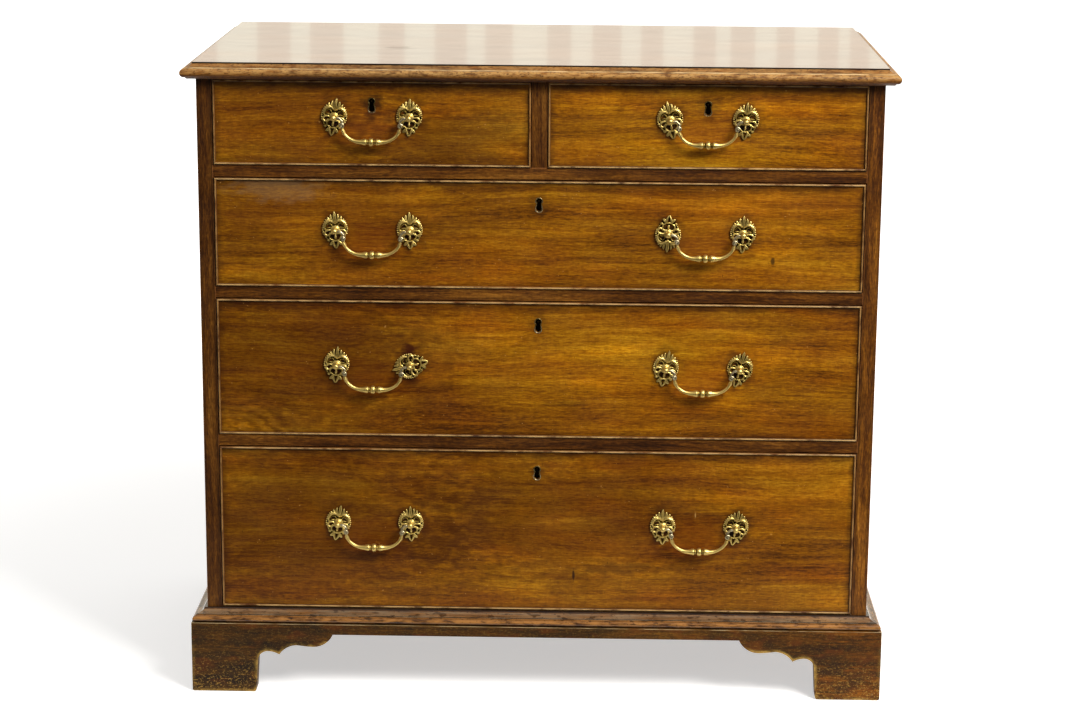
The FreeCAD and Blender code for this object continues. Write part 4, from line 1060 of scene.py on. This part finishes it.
# ------------------------------------------------------------------ handle roses
# Each post carries a cast and pierced brass rose: a leaf crest, two scrolls like brows over the piercings,
# pearls down the sides, a drop, and a leaf at the foot. Lacquer gone, dark in the hollows, bright on top.
# Everything in this section is in millimetres until a rose is set on its post.
rose_plate = 1.3
rose_voxel = 0.28              # how finely the casting is drawn
rose_kept = 0.16               # share of its faces that are kept
pearl_size = 2.5
pearl_count = 8
pearl_line = ((12.0, 14.2), (14.8, 10.0), (16.2, 5.2), (16.6, 0.0), (15.6, -5.0))


def leaf(bm, root, tip, lean, half_width, rise, rib=0.75):
    """A rounded cast leaf from root to tip, with a groove down its middle whose floor stands at rib of the
    leaf's rise; lean bows it to one side."""
    root, tip = Vector(root), Vector(tip)
    along = (tip - root).normalized()
    side = Vector((along.y, -along.x))
    half = ((0.25, 1.0), (0.6, 0.95), (0.88, 0.7), (1, 0.0))
    section = [(-share, level) for share, level in reversed(half)] + [(0, rib), *half]
    stations = []
    for i in range(13):
        t = i / 12
        middle = root.lerp(tip, t) + side * lean * math.sin(math.pi * t)
        wide = half_width * (0.4 + 0.6 * math.sin(math.pi * (0.1 + 0.72 * t))) * math.sqrt(max(0.0, 1 - t ** 6))
        wide = max(0.08, wide)
        tall = rise * (0.6 + 0.4 * math.sin(math.pi * t ** 0.9))
        outline = [(share, rose_plate * 0.7 + tall * level) for share, level in section]
        outline += [(share, rose_plate * 0.2) for share in (1, -1)]
        stations.append([(middle.x + side.x * wide * share, middle.y + side.y * wide * share, height)
                         for share, height in outline])
    skin(bm, stations)


def smooth_path(points, steps):
    """Places along a smooth line through points, so many steps from one point to the next."""
    points = [Vector(p) for p in points]
    ends = [points[0] * 2 - points[1]] + points + [points[-1] * 2 - points[-2]]
    path = []
    for a, b, c, d in zip(ends, ends[1:], ends[2:], ends[3:]):
        for i in range(steps):
            t = i / steps
            path.append(0.5 * (2 * b + (c - a) * t + (2 * a - 5 * b + 4 * c - d) * t ** 2
                               + (3 * b - a - 3 * c + d) * t ** 3))
    return path + [points[-1]]


def tube(bm, path, radii, sides=10):
    """A round bar along a path of 3-D points, its radius given at each."""
    stations = []
    for i, (spot, radius) in enumerate(zip(path, radii)):
        ahead = (path[min(i + 1, len(path) - 1)] - path[max(i - 1, 0)]).normalized()
        over = Vector((0, 0, 1))
        aside = ahead.cross(over).normalized()
        over = aside.cross(ahead)
        stations.append([spot + aside * radius * math.cos(a) + over * radius * math.sin(a)
                         for a in (2 * math.pi * k / sides for k in range(sides))])
    skin(bm, stations)


def scroll(bm, points, radii, height):
    """A tapering scroll across the rose through (right, up) points."""
    path = smooth_path([(x, y, height) for x, y in points], 6)
    last = len(path) - 1
    sizes = []
    for i in range(len(path)):
        share = i / last * (len(radii) - 1)
        k = min(int(share), len(radii) - 2)
        sizes.append(radii[k] + (radii[k + 1] - radii[k]) * (share - k))
    tube(bm, path, sizes)


def turned_shape(bm, stations, sides=24):
    """A solid turned about the line that stands out from the drawer; a station is (height, radius)."""
    turns = [2 * math.pi * k / sides for k in range(sides)]
    skin(bm, [[(r * math.cos(a), r * math.sin(a), h) for a in turns] for h, r in stations])


def pearls(material):
    """A row of pearls down the right side of the rose, set evenly along a curve."""
    tree, inputs = node_group("pearl_row", (("Pearl diameter", "Float"), ("Pearl count", "Int"),
                                            ("Brass", "Material")))
    given = add(tree, "NodeGroupInput").node.outputs
    points = add(tree, "GeometryNodeCurveToPoints", {"Curve": given["Geometry"], "Count": given["Pearl count"]},
                 mode="COUNT")
    radius = add(tree, "ShaderNodeMath", {0: given["Pearl diameter"], 1: 0.5}, operation="MULTIPLY")
    pearl = add(tree, "GeometryNodeMeshIcoSphere", {"Radius": radius, "Subdivisions": 3})
    row = add(tree, "GeometryNodeInstanceOnPoints", {"Points": points, "Instance": pearl})
    solid = add(tree, "GeometryNodeRealizeInstances", {"Geometry": row})
    coated = add(tree, "GeometryNodeSetMaterial", {"Geometry": solid, "Material": given["Brass"]})
    add(tree, "NodeGroupOutput", {0: coated})
    line = bpy.data.curves.new("pearl_line", "CURVE")
    line.dimensions = "3D"
    spline = line.splines.new("POLY")
    path = smooth_path([(x, y, rose_plate + 0.5) for x, y in pearl_line], 8)
    spline.points.add(len(path) - 1)
    for corner, spot in zip(spline.points, path):
        corner.co = (*spot, 1)
    item = in_scene("pearl_line", line)
    modifier = item.modifiers.new("pearls", "NODES")
    modifier.node_group = tree
    modifier[inputs["Pearl diameter"]] = pearl_size
    modifier[inputs["Pearl count"]] = pearl_count
    modifier[inputs["Brass"]] = material
    return as_made(item)


def pierced_plate():
    """The flat ground of the rose: its leafy outline, with the piercings left open."""
    # Its right side from the crest to the foot, the mouth and the hole in the leaf at the foot; then two
    # slanted holes on each side.
    right = [(1.6, 23.0), (2.8, 19.2), (4.8, 20.6), (6.4, 17.2), (8.8, 17.6), (10.2, 14.8), (12.8, 13.6),
             (15.6, 8.0), (16.8, 0.0), (14.8, -6.4), (11.6, -11.6), (8.8, -14.4), (8.4, -19.2), (4.9, -18.4)]
    outline = [(0, 25.8)] + right + [(0, -25.4)] + [(-x, y) for x, y in reversed(right)]
    mouth = [(6.2, -5.6), (2.2, -6.2), (-2.2, -6.2), (-6.2, -5.6), (-6.4, -9.4), (-3.6, -12.6), (3.6, -12.6),
             (6.4, -9.4)]
    holes = [outline, mouth, [(-2.4, -15.6), (2.4, -15.6), (0, -20.6)]]
    for side in (-1, 1):
        for x, y, wide, tall, slant in ((8.3, 6.4, 4.5, 2.1, -0.5), (10.4, -3.3, 2.3, 2.1, 0.3)):
            ring = []
            for k in range(16):
                a = 2 * math.pi * k / 16
                u, v = wide * math.cos(a), tall * math.sin(a)
                ring.append((side * (x + u * math.cos(slant) - v * math.sin(slant)),
                             y + u * math.sin(slant) + v * math.cos(slant)))
            holes.append(ring)
    flat = bpy.data.curves.new("rose_plate", "CURVE")
    flat.dimensions = "2D"
    flat.fill_mode = "BOTH"
    flat.extrude = rose_plate / 2
    for ring in holes:
        spline = flat.splines.new("POLY")
        spline.points.add(len(ring) - 1)
        spline.use_cyclic_u = True
        for corner, (x, y) in zip(spline.points, ring):
            corner.co = (x, y, 0, 1)
    bm = as_made(in_scene("rose_plate", flat))
    bmesh.ops.translate(bm, vec=(0, 0, rose_plate / 2), verts=bm.verts)
    return bm


# The leaves of the right half: root, tip, lean, half width, rise and rib. Three in the crest, two at the foot.
rose_leaves = (((2.0, 9.6), (5.0, 22.2), 1.2, 2.1, 2.6, 0.7), ((4.4, 11.2), (9.6, 19.0), 1.4, 2.1, 2.4, 0.7),
               ((8.0, 12.4), (13.2, 15.4), 0.8, 1.7, 2.1, 0.7), ((3.6, -14.2), (8.6, -20.4), 0.8, 2.2, 1.8, 0.75),
               ((7.2, -12.4), (12.2, -13.6), 0.6, 1.8, 1.6, 0.75))
# Its scrolls: how far each lies above the ground, its radii, and its path. The brow, two bars across the eye,
# the curl under it, the jaw, the cheek, and the stem of the leaf at the foot.
rose_scrolls = (
    (0.9, (0.9, 1.5, 2.0, 1.9, 1.5, 0.9),
     ((1.6, 10.6), (4.6, 12.6), (9.0, 12.6), (13.0, 9.6), (14.3, 4.6), (13.4, 1.0))),
    (0.2, (0.6, 0.7, 0.7, 0.5), ((3.0, 4.4), (6.2, 9.0), (10.2, 8.0), (12.4, 4.4))),
    (0.0, (0.7, 0.9, 0.8, 0.5), ((4.4, 2.8), (7.6, 3.4), (11.0, 3.0), (12.6, 1.0))),
    (0.6, (0.9, 1.4, 1.5, 1.4, 1.4, 1.1, 0.6),
     ((4.6, -0.6), (8.2, 0.4), (12.6, -0.6), (14.2, -4.2), (11.6, -7.0), (8.2, -5.8), (7.4, -3.0))),
    (0.5, (1.0, 1.3, 1.2, 1.1, 1.1, 0.8),
     ((1.4, -5.0), (4.0, -4.4), (6.6, -4.8), (8.4, -8.0), (7.4, -11.6), (4.6, -13.4))),
    (0.0, (0.7, 1.0, 0.8), ((9.4, -13.6), (12.4, -9.8), (14.4, -6.2))),
    (0.3, (1.1, 1.5, 1.5, 0.8), ((3.4, -14.4), (3.4, -17.4), (2.2, -21.2), (0.2, -25.2))))


def cast_rose(material):
    """One rose, facing up, its ornament cast in one with its ground."""
    bm = pierced_plate()
    leaf(bm, (0, 8.4), (0, 26.0), 0, 2.5, 2.8)
    row = pearls(material)
    for side in (-1, 1):
        for root, tip, lean, half_width, rise, rib in rose_leaves:
            leaf(bm, (side * root[0], root[1]), (side * tip[0], tip[1]), side * lean, half_width, rise, rib)
        for lift, radii, path in rose_scrolls:
            scroll(bm, [(side * x, y) for x, y in path], radii, rose_plate + lift)
        rows = bpy.data.meshes.new("pearls")
        row.to_mesh(rows)
        rows.transform(Matrix.Diagonal((side, 1, 1, 1)))
        if side < 0:
            rows.flip_normals()
        bm.from_mesh(rows)
    chin = [(-7.4, -11.6), (-3.6, -14.0), (0, -14.8), (3.6, -14.0), (7.4, -11.6)]
    scroll(bm, chin, (0.7, 1.1, 1.3, 1.1, 0.7), rose_plate)
    scroll(bm, [(0, -5.2), (0, -7.4), (0, -9.8), (0, -12.2)], (0.8, 1.3, 1.8, 0.9), rose_plate + 1.2)
    boss = [(0.2, 6.6), (1.8, 6.6), (2.6, 6.1), (2.8, 5.5), (2.5, 5.1), (3.2, 4.7), (3.5, 4.0), (3.2, 3.3)]
    turned_shape(bm, boss)
    # One skin is drawn over all of it, as metal fills a mould, then smoothed and made lighter.
    item = in_scene("rose_rough", as_mesh("rose_rough", bm))
    remesh = item.modifiers.new("cast", "REMESH")
    remesh.mode = "VOXEL"
    remesh.voxel_size = rose_voxel
    fettle = item.modifiers.new("fettled", "SMOOTH")
    fettle.factor = 0.5
    fettle.iterations = 1
    fewer = item.modifiers.new("fewer", "DECIMATE")
    fewer.ratio = rose_kept
    mesh = as_mesh("rose_casting", as_made(item))
    openness(mesh, 3.2, rose_plate * 0.9, rose_plate + 1.3)
    return mesh


# Cast brass once lacquered gold: the dips have gone black-brown, and the high parts are rubbed yellow.
cast_brass = metal("brass_cast_antique", "#150F04", "#8E7430", "#E2C674", 0.42, 1.6)
rose_mesh = cast_rose(cast_brass)


# ------------------------------------------------------------------ handle posts and nuts
# A ball-headed bolt goes through each rose and the drawer front, and a square nut holds it inside. The end of the
# bail's pin goes into the ball. In millimetres too, but for the nut.
post_ball = 4.6
ball_seen = 4.1                # rubbed down by long use
post_shank = 3.0
nut_arris = 0.4 * mm
# How far each rose has turned on its post, in degrees.
rose_turns = {"short_left_drawer": (9.0, 2.0), "short_right_drawer": (-11.0, 5.0),
              "second_drawer": (-3.0, -1.5, 183.0, 2.0), "third_drawer": (4.5, -105.0, 11.5, 14.0),
              "fourth_drawer": (9.5, -2.0, 0.0, 9.5)}


def ball_post(reach, depth):
    """A post in millimetres, standing out from the drawer's face, which is at height 0."""
    bm = bmesh.new()
    profile = [(-depth, post_shank), (1.0, post_shank), (1.0, 3.4), (4.4, 3.4), (5.0, 3.9), (5.8, 3.9), (6.4, 3.2),
               (7.2, 2.7)]
    for i in range(11):
        a = math.radians(-52 + 140 * i / 10)
        profile.append((reach + ball_seen * math.sin(a), ball_seen * math.cos(a)))
    turned_shape(bm, profile)
    mesh = as_mesh("ball_post", bm)
    openness(mesh, 5.0)
    return mesh


def onto_drawer(post, turn=0.0):
    """From a fitting's own place, facing up in millimetres, to its post on the drawer's face, facing out."""
    stand_up = Matrix.Rotation(math.pi / 2, 4, "X")
    return Matrix.Translation(post) @ Matrix.Rotation(math.radians(turn), 4, "Y") @ stand_up @ Matrix.Scale(mm, 4)


post_mesh = ball_post(handle_pivot_reach / mm, (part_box("third_drawer_handle_posts")[1].y - case_front) / mm)
for drawer in drawer_names:
    fittings = []
    cad_fittings = solids_of(drawer + "_handle_posts")
    for number, (post, _) in enumerate(posts_of(drawer)):
        cad_rose, cad_post, nut = cad_fittings[3 * number:3 * number + 3]
        cad_rose.free()
        cad_post.free()
        ease_edges(nut, nut_arris)
        fittings.append((moved(rose_mesh, onto_drawer(post, rose_turns[drawer][number])), 0))
        fittings.append((moved(post_mesh, onto_drawer(post)), 0))
        fittings.append((nut, 1))
    finished(drawer + "_roses_and_posts", fittings, drawer, [cast_brass, lock_iron],
             [drawer + "_handle_posts"], 50)


# ------------------------------------------------------------------ bails
# Each bail is a cast swan-neck of brass: a turned ring and two vases in the middle of the grip, round
# corners, a leafy knuckle and a small curl on each arm, and a pin that turns in the post's ball. In
# millimetres about the middle of the pin's axis, until it is set on its drawer.
bail_drop = 32.0
bail_rod = 2.5
bail_arm = 38.8                # from the middle of the bail
bail_corner = (25.2, 20.8)     # how wide and how tall each round corner is
bail_elbow = 4.0
bail_pin = 1.6
bail_pin_end = 54.0


def bail_half():
    """Right half of the bail as (distance, height, heading in degrees, radius, fluting)."""
    turned = [(0, 5.7), (1.2, 5.6), (2.3, 5.2), (3.0, 4.4), (3.3, 3.4), (3.6, 3.0), (4.4, 3.0), (4.7, 3.8),
              (5.4, 3.9), (5.7, 3.4), (6.3, 3.5), (6.7, 4.2), (7.6, 4.6), (9.2, 4.6), (11.0, 4.2), (12.6, 3.7)]
    half = [(x, -bail_drop, 0, r, 0) for x, r in turned]
    wide, tall = bail_corner
    for i in range(17):
        a = math.radians(90 * i / 16)
        heading = math.degrees(math.atan2(tall * math.sin(a), wide * math.cos(a)))
        # The knuckle swells and is fluted where the rod heads 68 degrees up.
        knuckle = max(0, 1 - abs(heading - 68) / 12)
        radius = bail_rod + max(0.0, 0.9 - 0.22 * i) - 0.8 * i / 16 + 0.6 * knuckle ** 0.6
        half.append((bail_arm - wide * (1 - math.sin(a)), -bail_drop + tall * (1 - math.cos(a)), heading, radius,
                     0.2 * knuckle))
    half += [(bail_arm, -9.6, 90, 2.3, 0), (bail_arm, -7.4, 90, 2.2, 0), (bail_arm, -5.4, 90, 1.9, 0)]
    for i in range(5):
        heading = 90 - 90 * i / 4
        a = math.radians(heading)
        half.append((bail_arm + bail_elbow * (1 - math.sin(a)), -bail_elbow * math.cos(math.radians(90 - heading)),
                     heading, 1.8, 0))
    shoulder = handle_spacing / mm / 2 - post_ball - 0.5
    half += [(shoulder - 0.4, 0, 0, 2.0, 0), (shoulder, 0, 0, 1.8, 0), (shoulder, 0, 0, bail_pin, 0),
             (bail_pin_end, 0, 0, bail_pin, 0)]
    return half


def swan_neck_bail():
    """A bail in millimetres about the middle of its pivot axis, facing up."""
    bm = bmesh.new()
    half = bail_half()
    stations = []
    for way, row in ((-1, half[:0:-1]), (1, half)):
        for x, y, heading, radius, flute in row:
            a = math.radians(heading)
            aside = Vector((-way * math.sin(a), math.cos(a), 0))
            ring = []
            for k in range(16):
                turn = 2 * math.pi * k / 16
                r = radius * (1 + flute * math.cos(4 * turn))
                ring.append(Vector((way * x, y, 0)) + aside * r * math.cos(turn)
                            + Vector((0, 0, 1)) * r * math.sin(turn))
            stations.append(ring)
    skin(bm, stations)
    for face in bm.faces:
        middle = face.calc_center_median()
        face.material_index = 1 if abs(middle.x) > bail_arm - 4 and middle.y > -bail_drop * 0.4 else 0
    # A small curl stands on each arm.
    for way in (-1, 1):
        path, sizes = [], []
        for i in range(22):
            a = math.radians(-70 + 26 * i)
            reach = 3.0 - 2.5 * i / 21
            path.append(Vector((way * (bail_arm + 0.4 - reach * math.sin(a)), -10.0 + reach * math.cos(a),
                                1.3 + 0.8 * i / 21)))
            sizes.append(1.7 - 0.7 * i / 21)
        first = len(bm.faces)
        tube(bm, path, sizes)
        bm.faces.ensure_lookup_table()
        for face in bm.faces[first:]:
            face.material_index = 1
    mesh = as_mesh("bail_casting", bm)
    openness(mesh, 5.0)
    return mesh


# Fingers seldom touch the knuckles and curls of the arms, so there the brass has gone grey.
curl_brass = metal("brass_cast_tarnished_grey", "#1C1710", "#6A604A", "#BCAE88", 0.4, 1.6)
bail_mesh = swan_neck_bail()
for drawer in drawer_names:
    for bail, pivot in bails_of(drawer):
        casting = moved(bail_mesh, onto_drawer(Vector(pivot)))
        finished(bail + "_casting", [(casting, None)], bail, [cast_brass, curl_brass], [bail], 60)


# ------------------------------------------------------------------ studio
# A pale paper floor under and behind the chest, with a dim room in front of it, so that its fronts mirror
# little and keep their colour. One large soft lamp from the right, a weak one from the left, and a row of
# narrow window lights behind, which the polished top mirrors.
floor_reach = 20               # metres each way

# Matt paper. It glows by itself to the camera and to polish and metal, so that it reads as white, and less
# near the chest, so that the shadow stays. To all other light it is pale, and dark in front of the chest.
paper = empty_material("studio_paper_matt")
tree = paper.node_tree
seen = add(tree, "ShaderNodeLightPath").node.outputs
forward = add(tree, "ShaderNodeSeparateXYZ", {0: add(tree, "ShaderNodeTexCoord", out="Object")}, out=1)
dim = add(tree, "ShaderNodeMapRange", {0: forward, 1: -0.7, 2: -0.27, 3: 1.0, 4: 0.0})
unseen = add(tree, "ShaderNodeMath", {0: 1.0, 1: seen["Is Camera Ray"]}, operation="SUBTRACT")
dim = add(tree, "ShaderNodeMath", {0: dim, 1: unseen}, operation="MULTIPLY")
tone = add(tree, "ShaderNodeMix", {0: dim, 6: colour("#ECEAE6"), 7: colour("#3A3835")}, out=2, data_type="RGBA")
direct = add(tree, "ShaderNodeMath", {0: seen["Is Camera Ray"], 1: seen["Is Glossy Ray"]}, operation="ADD")
direct = add(tree, "ShaderNodeMath", {0: direct, 1: seen["Is Transmission Ray"]}, operation="ADD", use_clamp=True)
direct = add(tree, "ShaderNodeMath", {0: direct, 1: dim}, operation="SUBTRACT", use_clamp=True)
far = add(tree, "ShaderNodeVectorMath", {0: add(tree, "ShaderNodeTexCoord", out="Object")}, out="Value",
          operation="LENGTH")
far = add(tree, "ShaderNodeMapRange", {0: far, 1: 0.8, 2: 2.4, 3: 0.5, 4: 1.0}, interpolation_type="SMOOTHSTEP")
glow = add(tree, "ShaderNodeMath", {0: direct, 1: far}, operation="MULTIPLY")
glow = add(tree, "ShaderNodeEmission", {"Color": colour("#FFFFFF"), "Strength": glow})
matt = add(tree, "ShaderNodeBsdfDiffuse", {"Color": tone})
add(tree, "ShaderNodeOutputMaterial", {0: add(tree, "ShaderNodeAddShader", {0: matt, 1: glow})})
floor_mesh = bpy.data.meshes.new("floor")
floor_corners = [(x * floor_reach, y * floor_reach, 0) for x, y in ((-1, -1), (1, -1), (1, 1), (-1, 1))]
floor_mesh.from_pydata(floor_corners, [], [(0, 1, 2, 3)])
floor_mesh.materials.append(paper)
floor = in_scene("floor", floor_mesh)
floor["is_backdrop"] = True

# The room: bright behind the chest and overhead, dim in front, and white to the camera.
world = bpy.data.worlds.new("studio")
bpy.context.scene.world = world
world.use_nodes = True
sky = world.node_tree
sky.nodes.clear()
behind = add(sky, "ShaderNodeSeparateXYZ", {0: add(sky, "ShaderNodeTexCoord", out="Generated")}, out=1)
overhead = add(sky, "ShaderNodeSeparateXYZ", {0: add(sky, "ShaderNodeTexCoord", out="Generated")}, out=2)
room = add(sky, "ShaderNodeMapRange", {0: behind, 1: -0.1, 2: 0.75, 3: 0.2, 4: 0.93})
overhead = add(sky, "ShaderNodeMapRange", {0: overhead, 1: 0.4, 2: 0.95, 3: 0.2, 4: 0.6})
room = add(sky, "ShaderNodeMath", {0: room, 1: overhead}, operation="MAXIMUM")
room = add(sky, "ShaderNodeMath", {0: room, 1: add(sky, "ShaderNodeLightPath", out="Is Camera Ray")},
           operation="MAXIMUM")
warmth = add(sky, "ShaderNodeMix", {0: add(sky, "ShaderNodeLightPath", out="Is Glossy Ray"), 6: colour("#FFFFFF"),
                                    7: colour("#FFF3E0")}, out=2, data_type="RGBA")
add(sky, "ShaderNodeOutputWorld", {0: add(sky, "ShaderNodeBackground", {"Color": warmth, "Strength": room})})


def lamp(name, place, target, width, height, power, tone="#FFFFFF"):
    """A soft rectangular lamp that shines from its place towards a target, and isn't seen itself. Places and
    sizes are in metres, the power in watts."""
    light = bpy.data.lights.new(name, "AREA")
    light.shape = "RECTANGLE"
    light.size = width
    light.size_y = height
    light.energy = power
    light.color = colour(tone)[:3]
    stand = in_scene(name, light)
    stand.location = place
    stand.rotation_euler = (Vector(target) - Vector(place)).to_track_quat("-Z", "Y").to_euler()
    stand.visible_camera = False


lamp("key_softbox", (2.1, -2.3, 3.1), (0, 0, 0.42), 1.6, 1.4, 202)
lamp("fill_softbox", (-2.4, -3.2, 2.6), (0, 0, 0.4), 1.4, 1.4, 8)

# The window lights stand ever closer from left to right, as panes do along a wall that runs away.
window_power = 0.52            # for each metre of width
x = -1.02
for i in range(17):
    spacing = 0.17 - 0.006 * i
    width = spacing * (0.5 + 0.18 * math.sin(2.3 * i))
    lamp("window_%d" % i, (x, 2.9, 1.42), (x, 0, 1.0), width, 0.9, window_power * width, "#D8FFF0")
    x += spacing

# A long lens, a little above the chest and to its right, turned down and slightly to the left.
lens = bpy.data.cameras.new("camera")
lens.sensor_width = 36.0
lens.lens = 84.4
lens.shift_y = -0.04
camera = in_scene("camera", lens)
bpy.context.scene.camera = camera
camera_distance = 3.382        # metres in front of the case
camera_height = 1.312
camera_right = 0.068
pitch = math.radians(-12.81)
yaw = math.radians(-1.11)
roll = math.radians(0.43)
ahead = Vector((math.sin(yaw) * math.cos(pitch), math.cos(yaw) * math.cos(pitch), math.sin(pitch)))
right = Vector((math.cos(yaw), -math.sin(yaw), 0))
above = right.cross(ahead)
across = right * math.cos(roll) + above * math.sin(roll)
upward = above * math.cos(roll) - right * math.sin(roll)
aim = Matrix((across, upward, -ahead)).transposed().to_4x4()
camera.matrix_world = Matrix.Translation((camera_right, case_front - camera_distance, camera_height)) @ aim
bpy.context.scene.view_settings.view_transform = "Standard"

low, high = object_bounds()
